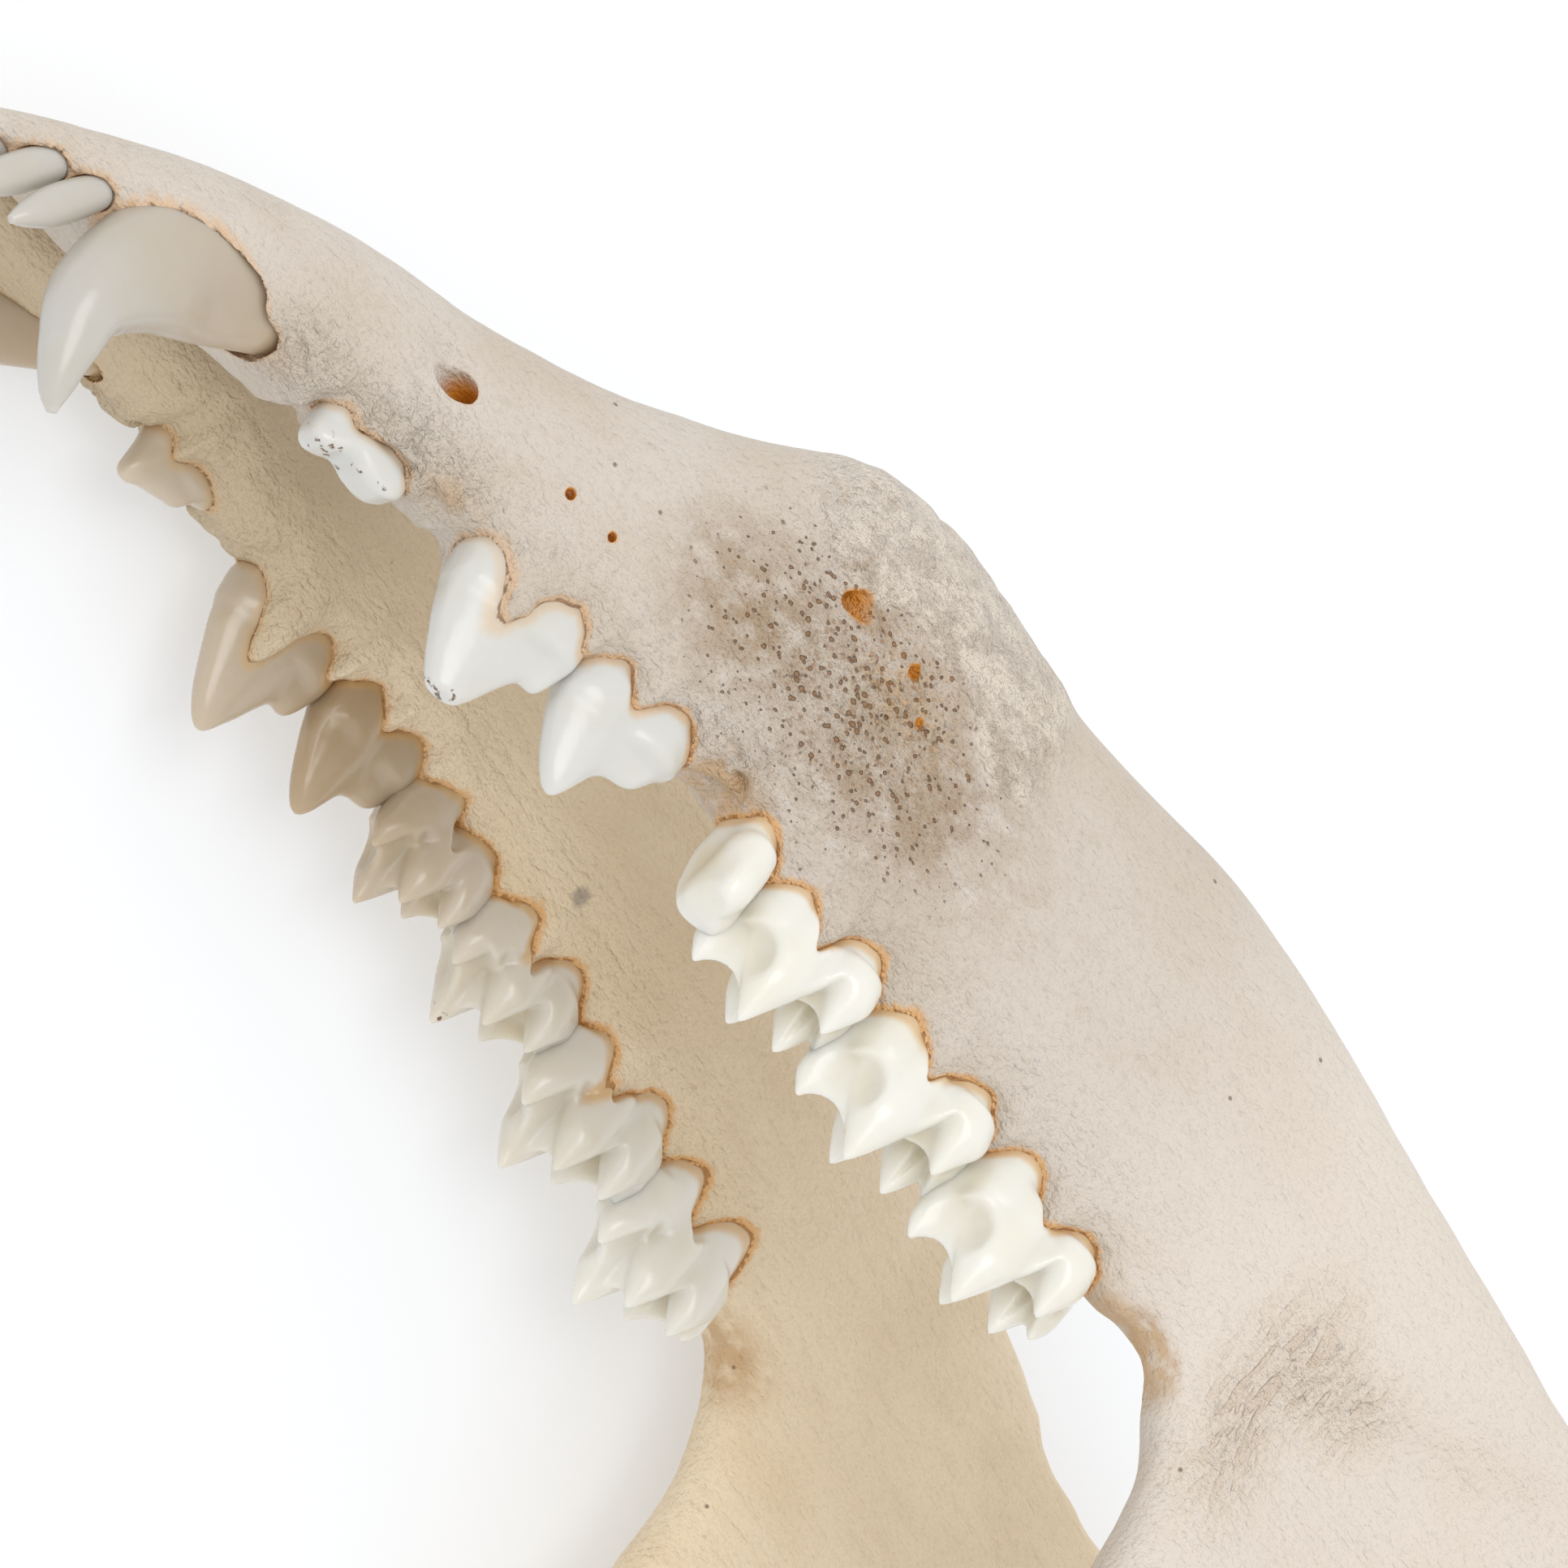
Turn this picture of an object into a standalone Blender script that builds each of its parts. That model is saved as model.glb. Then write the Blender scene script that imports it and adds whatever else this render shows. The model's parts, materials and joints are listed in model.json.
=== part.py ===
"""Lower jaw of a Virginia opossum: two separate jaw bones, each with its twelve teeth.

The shapes are worked out in the jaw's own frame, in millimetres: x runs forward along the
midline, y to the animal's left and z up from the tooth line, with the origin on the midline
level with the back of the last molars. The finished bones are then laid down as they rest.
"""

import math

import bmesh
import bpy
import numpy as np
from mathutils import Vector

MM = 0.001

# The jaw lies on its left side: roughly where up is in the jaw's own frame.
ROUGH_UP = (-0.17, -0.96, 0.20)

HALF_GAP = 0.15

# Level sections of the tooth-bearing body: forward, top, bottom, middle, half width.
BODY = (
    (57.2, 5.1, 4.4, 1.2, 0.7),
    (56.0, 4.7, 3.5, 1.6, 1.4),
    (54.0, 3.8, 2.1, 2.1, 2.0),
    (51.0, 3.1, 0.1, 2.7, 2.6),
    (48.0, 3.1, -1.7, 3.2, 3.1),
    (45.0, 2.2, -3.1, 3.5, 3.2),
    (42.0, 1.3, -4.4, 3.7, 2.9),
    (38.0, 0.6, -5.6, 4.2, 2.6),
    (34.0, 0.3, -7.0, 5.0, 2.5),
    (29.0, -0.2, -8.9, 5.8, 2.6),
    (23.0, -0.6, -10.4, 6.6, 2.7),
    (16.0, -0.1, -12.1, 7.2, 2.8),
    (10.0, 0.3, -13.0, 7.9, 2.9),
    (4.0, 0.9, -13.4, 9.0, 2.8),
    (-1.0, 1.5, -12.4, 10.1, 2.5),
    (-3.5, 2.0, -11.8, 10.6, 2.2),
    (-6.0, 0.9, -11.0, 11.2, 2.0),
    (-11.0, -2.0, -9.8, 12.0, 1.8),
    (-17.0, -4.5, -8.4, 12.8, 1.5),
)
BODY_RINGS = 44
BODY_POINTS = 26
BODY_SQUARE = 2.5

# Heights of the rising branch: up, front edge, rear edge.
BRANCH = (
    (-8.0, -6.0, -25.0),
    (-5.0, -3.5, -30.5),
    (-1.5, -1.9, -33.0),
    (2.0, -2.7, -34.0),
    (3.6, -4.1, -33.9),
    (5.5, -4.9, -33.6),
    (9.0, -5.0, -28.6),
    (12.0, -5.3, -25.4),
    (17.0, -7.4, -23.8),
    (22.0, -11.0, -23.6),
    (25.5, -15.4, -24.0),
    (27.6, -20.2, -24.2),
)
BRANCH_RINGS = 30
BRANCH_POINTS = 22
BRANCH_MIDDLE = 10.4
BRANCH_SPREAD = 0.18
BRANCH_FLARE = 0.085
# Half thickness of the branch at distances behind its front edge.
BRANCH_HALF = ((0.0, 1.45), (2.5, 1.45), (6.0, 1.0), (12.0, 0.75), (40.0, 0.75))
REAR_EDGE_HALF = 0.95
REAR_EDGE_FROM = 0.9
EDGE_ROUNDING = 1.4
# The hollow on the outside for the chewing muscle: depth, height of its middle, reach.
HOLLOW_DEPTH = 0.9
HOLLOW_AT = 4.0
HOLLOW_REACH = 12.0

# The inturned angle: forward, medial edge, lateral edge, up, thickness.
ANGLE = (
    (-15.0, 12.3, 13.9, -7.8, 2.0),
    (-20.0, 13.0, 15.0, -6.6, 2.1),
    (-23.5, 13.3, 15.7, -6.2, 2.2),
    (-27.0, 11.2, 16.0, -6.1, 2.2),
    (-31.0, 7.8, 16.0, -6.1, 2.1),
    (-34.0, 6.3, 14.4, -5.9, 1.9),
    (-37.0, 6.2, 10.6, -5.6, 1.7),
    (-39.6, 7.0, 8.6, -5.0, 1.3),
)
ANGLE_TILT = 0.25
ANGLE_RINGS = 20
ANGLE_POINTS = 18

CONDYLE = (-34.4, 16.6, 6.0)
CONDYLE_RADII = (2.1, 5.0, 2.2)
NECK = (-32.0, 15.9, 3.4)
NECK_RADII = (3.2, 2.2, 4.2)
# Share of a lump's half length at which its first and last rings lie.
LUMP_END = 0.97

# The healed swelling on the right bone: middle, reach ahead and behind, bulge out and down.
SWELLING_AT = 23.2
SWELLING_AHEAD = 5.3
SWELLING_BEHIND = 7.9
SWELLING_OUT = 2.0
SWELLING_DOWN = 2.5
# Share of the bone's half height below which it bulges, and how gently.
SWELLING_FROM = 0.7
SWELLING_FADE = 1.5

# Nerve openings: place on the outer or inner face, direction inward, two radii.
OPENINGS = (
    ((37.0, 6.3, -2.4), (-0.80, -0.60, -0.05), 0.75, 0.55),
    ((22.9, 10.4, -7.2), (0.55, -0.80, 0.25), 0.5, 0.5),
    ((-21.5, 11.0, -0.6), (0.85, 0.52, -0.10), 1.1, 0.7),
)
OPENING_DEPTH = 2.2
# An opening narrows inward: share of its depth, share of its width.
FUNNEL = ((-1.0, 1.25), (0.0, 1.0), (0.6, 0.85), (1.0, 0.35))

VOXEL = 0.62
SMOOTH_ROUNDS = 6
BONE_SHARE = 0.155

RIGHT_COLOUR = (0.72, 0.63, 0.53)
LEFT_COLOUR = (0.72, 0.60, 0.47)
ROUGHNESS = 0.55

# Cheek teeth: front end forward, out and up, length, width, turn and pitch in degrees.
CHEEK = {
    "p1": (39.75, 4.40, 0.35, 3.7, 1.5, 7.0, -1.0),
    "p2": (33.40, 5.60, 0.05, 5.35, 2.4, 8.3, -7.0),
    "p3": (27.90, 6.05, -0.40, 5.1, 2.3, 8.4, -5.5),
    "m1": (23.10, 6.55, -0.60, 5.2, 2.9, 6.5, 2.8),
    "m2": (17.95, 6.85, -0.20, 5.8, 3.4, 7.4, 1.5),
    "m3": (12.10, 7.50, 0.05, 6.3, 3.6, 7.6, 2.4),
    "m4": (5.75, 8.35, 0.60, 6.1, 3.3, 8.3, 4.3),
}
# Premolars: height of the point, its share of the length, height of the heel.
PREMOLAR = {"p1": (2.6, 0.12, 1.2), "p2": (5.6, 0.37, 2.6), "p3": (4.8, 0.33, 2.4)}

# Molar cusps as shares of length and half width, then height in millimetres.
CUSPS = {
    "paraconid": (0.05, -0.38, 4.0),
    "protoconid": (0.37, 0.46, 5.2),
    "metaconid": (0.46, -0.52, 4.5),
    "hypoconid": (0.79, 0.72, 3.3),
    "entoconid": (0.80, -0.62, 3.7),
    "hypoconulid": (0.97, -0.35, 2.9),
    "cingulid": (0.14, 0.42, 1.9),
}
CRESTS = (
    ("paraconid", "cingulid", 0.02),
    ("paraconid", "protoconid", 0.24),
    ("protoconid", "metaconid", 0.20),
    ("metaconid", "hypoconid", 0.42),
    ("hypoconid", "hypoconulid", 0.16),
    ("hypoconulid", "entoconid", 0.25),
    ("entoconid", "metaconid", 0.55),
)
CUSP_SLOPE = 2.4
CUSP_ROUND = 0.25
BASIN = 1.5
ROOT_DEPTH = 4.0
# Molar waist between its two halves: depth as a share, place and spread round the outline.
WAIST = 0.13
WAIST_AT = 0.08
WAIST_SPREAD = 0.03
# Thickness of a tooth below its crown: height, share of the crown's width.
MOLAR_ROOT = ((-ROOT_DEPTH, 0.45), (-1.5, 0.72), (-0.2, 0.84), (1.0, 1.0))
PREMOLAR_ROOT = ((-ROOT_DEPTH, 0.5), (-1.2, 0.8), (-0.2, 0.95), (0.35, 1.0))

# Teeth that are worn or broken.
P1_CUT = 1.5
P2_CUT = 5.1
M1_SCALE = 0.86
M1_BROKEN_TO = 0.58
M2_SCALE = 0.95
M2_WORN = 0.12

CANINE_AXIS = (
    (38.5, 3.2, -3.4, 1.1, 1.0),
    (42.2, 3.8, -1.3, 1.75, 1.45),
    (45.4, 4.4, 0.8, 2.2, 1.75),
    (47.7, 4.8, 2.9, 2.1, 1.65),
    (48.7, 5.1, 5.4, 1.5, 1.3),
    (48.35, 5.2, 7.2, 1.02, 0.92),
    (47.8, 5.2, 8.6, 0.58, 0.54),
    (47.4, 5.2, 9.25, 0.2, 0.2),
)
# Front teeth: gum point and tip, each forward, out and up, then the widest radius.
INCISORS = (
    ((54.9, 1.5, 3.4), (57.1, 1.4, 6.9), 0.56),
    ((53.0, 2.8, 2.3), (55.1, 2.8, 6.0), 0.58),
    ((51.5, 3.8, 1.7), (53.8, 3.85, 5.8), 0.60),
    ((50.1, 4.4, 1.7), (52.3, 4.6, 5.7), 0.60),
)
# Thickness of an incisor along its length, from its root below 0 to its tip at 1.
INCISOR_SHAPE = (
    (-0.12, 0.5),
    (-0.05, 0.66),
    (0.12, 0.80),
    (0.42, 0.97),
    (0.66, 0.92),
    (0.86, 0.60),
    (1.0, 0.2),
)


def smooth_table(table, at):
    """Smooth values of every column of a table at the places asked for."""
    rows = np.array(sorted(table), float)
    x = rows[:, 0]
    y = rows[:, 1:]
    slope = np.gradient(y, x, axis=0)
    index = np.clip(np.searchsorted(x, at) - 1, 0, len(x) - 2)
    step = (x[index + 1] - x[index])[:, None]
    t = ((at - x[index]) / step[:, 0])[:, None]
    h00 = 2 * t**3 - 3 * t**2 + 1
    h10 = t**3 - 2 * t**2 + t
    h01 = -2 * t**3 + 3 * t**2
    h11 = t**3 - t**2
    return (
        h00 * y[index]
        + h10 * step * slope[index]
        + h01 * y[index + 1]
        + h11 * step * slope[index + 1]
    )


def new_object(name, points, faces):
    mesh = bpy.data.meshes.new(name)
    mesh.from_pydata([tuple(point) for point in points], [], faces)
    mesh.validate()
    obj = bpy.data.objects.new(name, mesh)
    bpy.context.scene.collection.objects.link(obj)
    return obj


def loft(name, rings):
    """A closed body through rings of equal length, capped with a fan at each end."""
    count = len(rings[0])
    points = np.concatenate([np.concatenate(rings), [rings[0].mean(0), rings[-1].mean(0)]])
    faces = []
    for ring in range(len(rings) - 1):
        low = ring * count
        for i in range(count):
            j = (i + 1) % count
            faces.append((low + i, low + j, low + count + j, low + count + i))
    first = len(rings) * count
    last = (len(rings) - 1) * count
    for i in range(count):
        j = (i + 1) % count
        faces.append((j, i, first))
        faces.append((last + i, last + j, first + 1))
    obj = new_object(name, points, faces)
    face_outward(obj)
    return obj


def face_outward(obj):
    """Turns the faces round where the body is inside out."""
    mesh = obj.data
    mesh.calc_loop_triangles()
    corners = np.array([mesh.vertices[v].co[:] for t in mesh.loop_triangles for v in t.vertices])
    corners = corners.reshape(-1, 3, 3)
    if np.linalg.det(corners).sum() < 0:
        mesh.flip_normals()


def swelling(x, across, upward):
    """How far the healed swelling pushes a ring's points out and down."""
    reach = SWELLING_AHEAD if x > SWELLING_AT else SWELLING_BEHIND
    size = math.exp(-(((x - SWELLING_AT) / reach) ** 2))
    low = np.clip((SWELLING_FROM - upward) / SWELLING_FADE, 0, 1)
    return SWELLING_OUT * size * np.clip(across, 0, 1) * low, SWELLING_DOWN * size * low**2


def body_rings(swollen):
    """Upright sections of the tooth-bearing body, flat where the two bones meet."""
    stations = np.linspace(BODY[0][0], BODY[-1][0], BODY_RINGS)
    angles = np.linspace(0, 2 * math.pi, BODY_POINTS, endpoint=False)
    power = 2 / BODY_SQUARE
    across = np.sign(np.cos(angles)) * np.abs(np.cos(angles)) ** power
    upward = np.sign(np.sin(angles)) * np.abs(np.sin(angles)) ** power
    rings = []
    for x, (top, bottom, middle, half) in zip(stations, smooth_table(BODY, stations)):
        y = middle + half * across
        z = (top + bottom) / 2 + (top - bottom) / 2 * upward
        if swollen:
            out, down = swelling(x, across, upward)
            y = y + out
            z = z - down
        y = np.maximum(y, HALF_GAP)
        rings.append(np.stack([np.full_like(y, x), y, z], 1))
    return rings


def branch_rings():
    """Level sections of the rising branch, hollowed on the outside for the chewing muscle."""
    heights = np.linspace(BRANCH[0][0], BRANCH[-1][0], BRANCH_RINGS)
    share = (1 - np.cos(np.linspace(0, math.pi, BRANCH_POINTS))) / 2
    rings = []
    for z, (front, rear) in zip(heights, smooth_table(BRANCH, heights)):
        x = front + (rear - front) * share
        middle = BRANCH_MIDDLE - BRANCH_SPREAD * (x + 2) + BRANCH_FLARE * max(z, 0)
        length = front - rear
        half = np.interp(share * length, *zip(*BRANCH_HALF))
        half = np.maximum(half, REAR_EDGE_HALF * (share > REAR_EDGE_FROM))
        end = np.minimum(share, 1 - share) * length
        half = half * np.sqrt(1 - (1 - np.clip(end / EDGE_ROUNDING, 0, 1)) ** 2)
        deep = HOLLOW_DEPTH * math.exp(-(((z - HOLLOW_AT) / HOLLOW_REACH) ** 2))
        bow = -deep * np.sin(math.pi * share)
        outer = np.stack([x, middle + bow + half, np.full_like(x, z)], 1)
        inner = np.stack([x, middle + bow - half, np.full_like(x, z)], 1)
        rings.append(np.concatenate([outer, inner[-2:0:-1]]))
    return rings


def angle_rings():
    """Upright sections of the shelf that turns inward at the rear lower corner."""
    stations = np.linspace(ANGLE[0][0], ANGLE[-1][0], ANGLE_RINGS)
    angles = np.linspace(0, 2 * math.pi, ANGLE_POINTS, endpoint=False)
    rings = []
    for x, (inner, outer, up, thick) in zip(stations, smooth_table(ANGLE, stations)):
        y = (inner + outer) / 2 + (outer - inner) / 2 * np.cos(angles)
        z = up + thick / 2 * np.sin(angles) + ANGLE_TILT * np.cos(angles)
        rings.append(np.stack([np.full_like(y, x), y, z], 1))
    return rings


def ellipsoid(name, centre, radii, around=20, along=12):
    """A rounded lump with its long rings about the sideways axis."""
    rings = []
    angles = np.linspace(0, 2 * math.pi, around, endpoint=False)
    for s in np.linspace(-LUMP_END, LUMP_END, along):
        size = math.sqrt(1 - s * s)
        x = centre[0] + radii[0] * size * np.cos(angles)
        z = centre[2] + radii[2] * size * np.sin(angles)
        rings.append(np.stack([x, np.full_like(x, centre[1] + radii[1] * s), z], 1))
    return loft(name, rings)


def frame_along(axis):
    """Direction, sideways and upright vectors at each point of a curved axis."""
    along = np.gradient(axis, axis=0)
    along /= np.linalg.norm(along, axis=1)[:, None]
    side = np.cross(along, np.array([0.0, 1.0, 0.0]))
    side /= np.linalg.norm(side, axis=1)[:, None]
    return along, side, np.cross(along, side)


def horn(name, stations, around=16, between=14):
    """A tapering curved body through stations of place and two radii."""
    rows = np.array(stations, float)
    steps = np.linspace(0, len(rows) - 1, between)
    table = [(float(i), *row) for i, row in enumerate(rows)]
    rows = smooth_table(table, steps)
    _, side, out = frame_along(rows[:, :3])
    angles = np.linspace(0, 2 * math.pi, around, endpoint=False)
    rings = []
    for centre, s, o, deep, wide in zip(rows[:, :3], side, out, rows[:, 3], rows[:, 4]):
        ring = centre + np.outer(np.cos(angles) * deep, s) + np.outer(np.sin(angles) * wide, o)
        rings.append(ring)
    return loft(name, rings)


def tooth_frame(name):
    """Front point, backward, outward and upward directions of a cheek tooth."""
    x, y, z, length, width, turn, pitch = CHEEK[name]
    turn = math.radians(turn)
    pitch = math.radians(pitch)
    back = np.array([-math.cos(turn) * math.cos(pitch), math.sin(turn) * math.cos(pitch), math.sin(pitch)])
    out = np.array([math.sin(turn), math.cos(turn), 0.0])
    up = np.cross(back, out)
    up *= math.copysign(1, up[2])
    return np.array([x, y, z]), back, out, up, length, width


def crest_height(u, v, cusps, width, length):
    """Height of the chewing surface at a place given along and across the tooth."""
    height = np.full_like(u, BASIN)
    for first, second, sag in CRESTS:
        a = np.array(cusps[first])
        b = np.array(cusps[second])
        ax, ay = a[0] * length, a[1] * width / 2
        bx, by = b[0] * length, b[1] * width / 2
        dx, dy = bx - ax, by - ay
        t = np.clip(((u - ax) * dx + (v - ay) * dy) / (dx * dx + dy * dy), 0, 1)
        away = np.hypot(u - ax - t * dx, v - ay - t * dy)
        line = a[2] + (b[2] - a[2]) * t - 4 * sag * t * (1 - t) * min(a[2], b[2])
        fall = CUSP_SLOPE * (np.hypot(away, CUSP_ROUND) - CUSP_ROUND)
        height = np.maximum(height, line - fall)
    return height


def molar_outline(angles):
    """Footprint of a molar as shares of half length and half width, waisted in the middle."""
    waist = 1 - WAIST * np.exp(-((np.cos(angles) - WAIST_AT) ** 2) / WAIST_SPREAD)
    along = np.sign(np.cos(angles)) * np.abs(np.cos(angles)) ** 0.75
    across = np.sign(np.sin(angles)) * np.abs(np.sin(angles)) ** 0.75 * waist
    return along, across


def molar(name, scale=1.0, start=0.0, worn=0.0, around=28, across=6):
    """A molar from root to cusps; a start above 0 leaves only the rear part of the tooth."""
    front, back, out, up, length, width = tooth_frame(name)
    cusps = {key: (p[0], p[1], p[2] * scale * (1 - worn)) for key, p in CUSPS.items()}
    angles = np.linspace(0, 2 * math.pi, around, endpoint=False)
    along, side = molar_outline(angles)
    kept = 1 - start
    rings = []
    for depth, share in MOLAR_ROOT:
        u = (1 + start + along * share * kept) * length / 2
        v = side * share * width / 2
        rings.append((u, v, np.full_like(u, depth)))
    for share in np.linspace(0.93, 0.14, across):
        u = (1 + start + along * share * kept) * length / 2
        v = side * share * width / 2
        rings.append((u, v, crest_height(u, v, cusps, width, length)))
    placed = [front + np.outer(u, back) + np.outer(v, out) + np.outer(h, up) for u, v, h in rings]
    return loft(name, placed)


def premolar(name, tip=None, around=18, rings_up=6):
    """A flattened pointed tooth with a heel, from root to tip."""
    front, back, out, up, length, width = tooth_frame(name)
    peak, peak_share, heel = PREMOLAR[name]
    cut = peak if tip is None else tip
    angles = np.linspace(0, 2 * math.pi, around, endpoint=False)
    along = np.sign(np.cos(angles)) * np.abs(np.cos(angles)) ** 0.8
    side = np.sign(np.sin(angles)) * np.abs(np.sin(angles)) ** 0.8
    rings = []
    for depth, share in PREMOLAR_ROOT:
        u = length / 2 + along * share * length / 2
        rings.append((u, side * share * width / 2, np.full_like(angles, depth)))
    top = peak_share * length
    for share in np.linspace(0.92, 0.06, rings_up):
        u = top + (length / 2 + along * length / 2 - top) * share
        v = side * share**1.1 * width / 2
        fore = (top - u) / (top + 0.25)
        rear = (u - top) / (length * 0.92 - top)
        blade = peak - np.where(u < top, fore * (peak - 0.4), rear * (peak - heel))
        toe = np.where(u > top, heel - 0.25 * np.abs(u - 0.9 * length), 0)
        h = np.maximum(blade, toe) - 0.35 * (np.abs(v) / width * 2) ** 2 * share * peak
        rings.append((u, v, np.minimum(np.maximum(h, 0.4), cut)))
    placed = [front + np.outer(u, back) + np.outer(v, out) + np.outer(h, up) for u, v, h in rings]
    return loft(name, placed)


def incisor(name, base, tip, radius):
    """A peg tooth with a slightly swollen end, its root run back into the bone."""
    base = np.array(base)
    tip = np.array(tip)
    step = tip - base
    stations = [(*(base + step * t), radius * s * 1.15, radius * s) for t, s in INCISOR_SHAPE]
    return horn(name, stations, around=10, between=9)


def join(name, pieces, solver="EXACT"):
    """One closed body from overlapping closed pieces."""
    group = bpy.data.collections.new(name + " pieces")
    for piece in pieces[1:]:
        group.objects.link(piece)
    whole = pieces[0]
    union = whole.modifiers.new("Join", "BOOLEAN")
    union.operation = "UNION"
    union.operand_type = "COLLECTION"
    union.collection = group
    union.solver = solver
    settle(whole)
    for piece in pieces[1:]:
        bpy.data.objects.remove(piece)
    bpy.data.collections.remove(group)
    whole.name = name
    keep_largest(whole)
    return whole


def settle(obj):
    """Applies an object's modifiers to its mesh."""
    bpy.context.view_layer.update()
    graph = bpy.context.evaluated_depsgraph_get()
    mesh = bpy.data.meshes.new_from_object(obj.evaluated_get(graph))
    obj.modifiers.clear()
    obj.data = mesh


def keep_largest(obj):
    """Drops every loose surface but the one with the most faces."""
    mesh = obj.data
    owner = np.arange(len(mesh.vertices))
    edges = np.array([edge.vertices[:] for edge in mesh.edges])
    while True:
        low = np.minimum(owner[edges[:, 0]], owner[edges[:, 1]])
        before = owner.copy()
        np.minimum.at(owner, edges[:, 0], low)
        np.minimum.at(owner, edges[:, 1], low)
        owner = owner[owner]
        if (owner == before).all():
            break
    points = np.array([vertex.co[:] for vertex in mesh.vertices])
    faces = [tuple(polygon.vertices) for polygon in mesh.polygons]
    lead = np.array([owner[face[0]] for face in faces])
    names, counts = np.unique(lead, return_counts=True)
    kept = names[counts.argmax()]
    index = np.cumsum(owner == kept) - 1
    kept_faces = [tuple(int(index[v]) for v in face) for face, own in zip(faces, lead) if own == kept]
    mesh.clear_geometry()
    mesh.from_pydata([tuple(point) for point in points[owner == kept]], [], kept_faces)


def blend_bone(obj):
    """Melts the joints between the pieces of bone and thins the mesh out again."""
    remesh = obj.modifiers.new("Blend", "REMESH")
    remesh.mode = "VOXEL"
    remesh.voxel_size = VOXEL
    smooth = obj.modifiers.new("Smooth", "SMOOTH")
    smooth.factor = 0.5
    smooth.iterations = SMOOTH_ROUNDS
    thin = obj.modifiers.new("Thin out", "DECIMATE")
    thin.ratio = BONE_SHARE
    settle(obj)
    keep_largest(obj)


def pierce(obj):
    """Cuts the nerve openings into the bone."""
    for number, (place, inward, high, wide) in enumerate(OPENINGS):
        place = np.array(place)
        inward = np.array(inward) / np.linalg.norm(inward)
        stations = [(*(place + inward * OPENING_DEPTH * t), high * s, wide * s) for t, s in FUNNEL]
        cutter = horn(f"opening {number}", stations, around=12, between=6)
        cut = obj.modifiers.new("Opening", "BOOLEAN")
        cut.operation = "DIFFERENCE"
        cut.object = cutter
        cut.solver = "EXACT"
        settle(obj)
        bpy.data.objects.remove(cutter)
    keep_largest(obj)


def bone(name, swollen):
    pieces = [
        loft("body", body_rings(swollen)),
        loft("branch", branch_rings()),
        loft("angle", angle_rings()),
        ellipsoid("condyle", CONDYLE, CONDYLE_RADII),
        ellipsoid("neck", NECK, NECK_RADII),
    ]
    whole = join(name, pieces)
    blend_bone(whole)
    pierce(whole)
    return whole


def teeth(side):
    """All twelve teeth of one side; the right side carries the broken and worn ones."""
    right = side == "right"
    found = [horn("canine", CANINE_AXIS)]
    for number, (base, tip, radius) in enumerate(INCISORS):
        found.append(incisor(f"i{number + 1}", base, tip, radius))
    found.append(premolar("p1", tip=P1_CUT if right else None))
    found.append(premolar("p2", tip=P2_CUT if right else None))
    found.append(premolar("p3"))
    found.append(molar("m1", scale=M1_SCALE, start=M1_BROKEN_TO if right else 0.0))
    found.append(molar("m2", scale=M2_SCALE, worn=0.0 if right else M2_WORN))
    found.append(molar("m3"))
    found.append(molar("m4"))
    return found


def centre_of_mass(objects):
    """Middle of the solid bone, from the tetrahedra that each triangle makes with the origin."""
    total = 0.0
    moment = np.zeros(3)
    for obj in objects:
        mesh = obj.data
        mesh.calc_loop_triangles()
        corners = [mesh.vertices[v].co[:] for t in mesh.loop_triangles for v in t.vertices]
        corners = np.array(corners).reshape(-1, 3, 3)
        volume = np.linalg.det(corners) / 6
        total += volume.sum()
        moment += (volume[:, None] * corners.sum(1) / 4).sum(0)
    return moment / total


def resting_up(objects):
    """Up direction of the jaw on the side it lies on: the hull face under its centre of mass."""
    centre = Vector(centre_of_mass(objects))
    rough = Vector(ROUGH_UP).normalized()
    hull = bmesh.new()
    for obj in objects:
        for vertex in obj.data.vertices:
            hull.verts.new(vertex.co)
    bmesh.ops.convex_hull(hull, input=hull.verts)
    best = rough
    best_match = 0.9
    for face in hull.faces:
        normal = face.normal
        if normal.dot(centre - face.verts[0].co) > 0:
            normal = -normal
        corners = [vertex.co for vertex in face.verts]
        sides = []
        for i in range(3):
            edge = corners[(i + 1) % 3] - corners[i]
            sides.append(edge.cross(centre - corners[i]).dot(normal))
        inside = min(sides) > 0 or max(sides) < 0
        if inside and -normal.dot(rough) > best_match:
            best = -normal
            best_match = best.dot(rough)
    up = np.array(best)
    hull.free()
    return up


def rest_turn(objects):
    """The turn that lays the jaw down, its front towards -X and its teeth towards -Y."""
    up = resting_up(objects)
    forward = np.array([1.0, 0.0, 0.0])
    x_axis = up * up.dot(forward) - forward
    x_axis /= np.linalg.norm(x_axis)
    return np.array([x_axis, np.cross(up, x_axis), up])


def mirror(obj):
    mesh = obj.data
    points = np.array([vertex.co[:] for vertex in mesh.vertices])
    points[:, 1] *= -1
    mesh.vertices.foreach_set("co", points.ravel())
    mesh.flip_normals()
    mesh.update()


def lay_down(objects):
    """Turns the bones to how they rest, in metres, lowest point on the floor, middle at the origin."""
    turn = rest_turn(objects)
    placed = [np.array([vertex.co[:] for vertex in obj.data.vertices]) @ turn.T * MM for obj in objects]
    everything = np.concatenate(placed)
    low = everything.min(0)
    high = everything.max(0)
    shift = np.array([-(low[0] + high[0]) / 2, -(low[1] + high[1]) / 2, -low[2]])
    for obj, points in zip(objects, placed):
        obj.data.vertices.foreach_set("co", (points + shift).ravel())
        obj.data.update()
    return turn, shift


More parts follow.
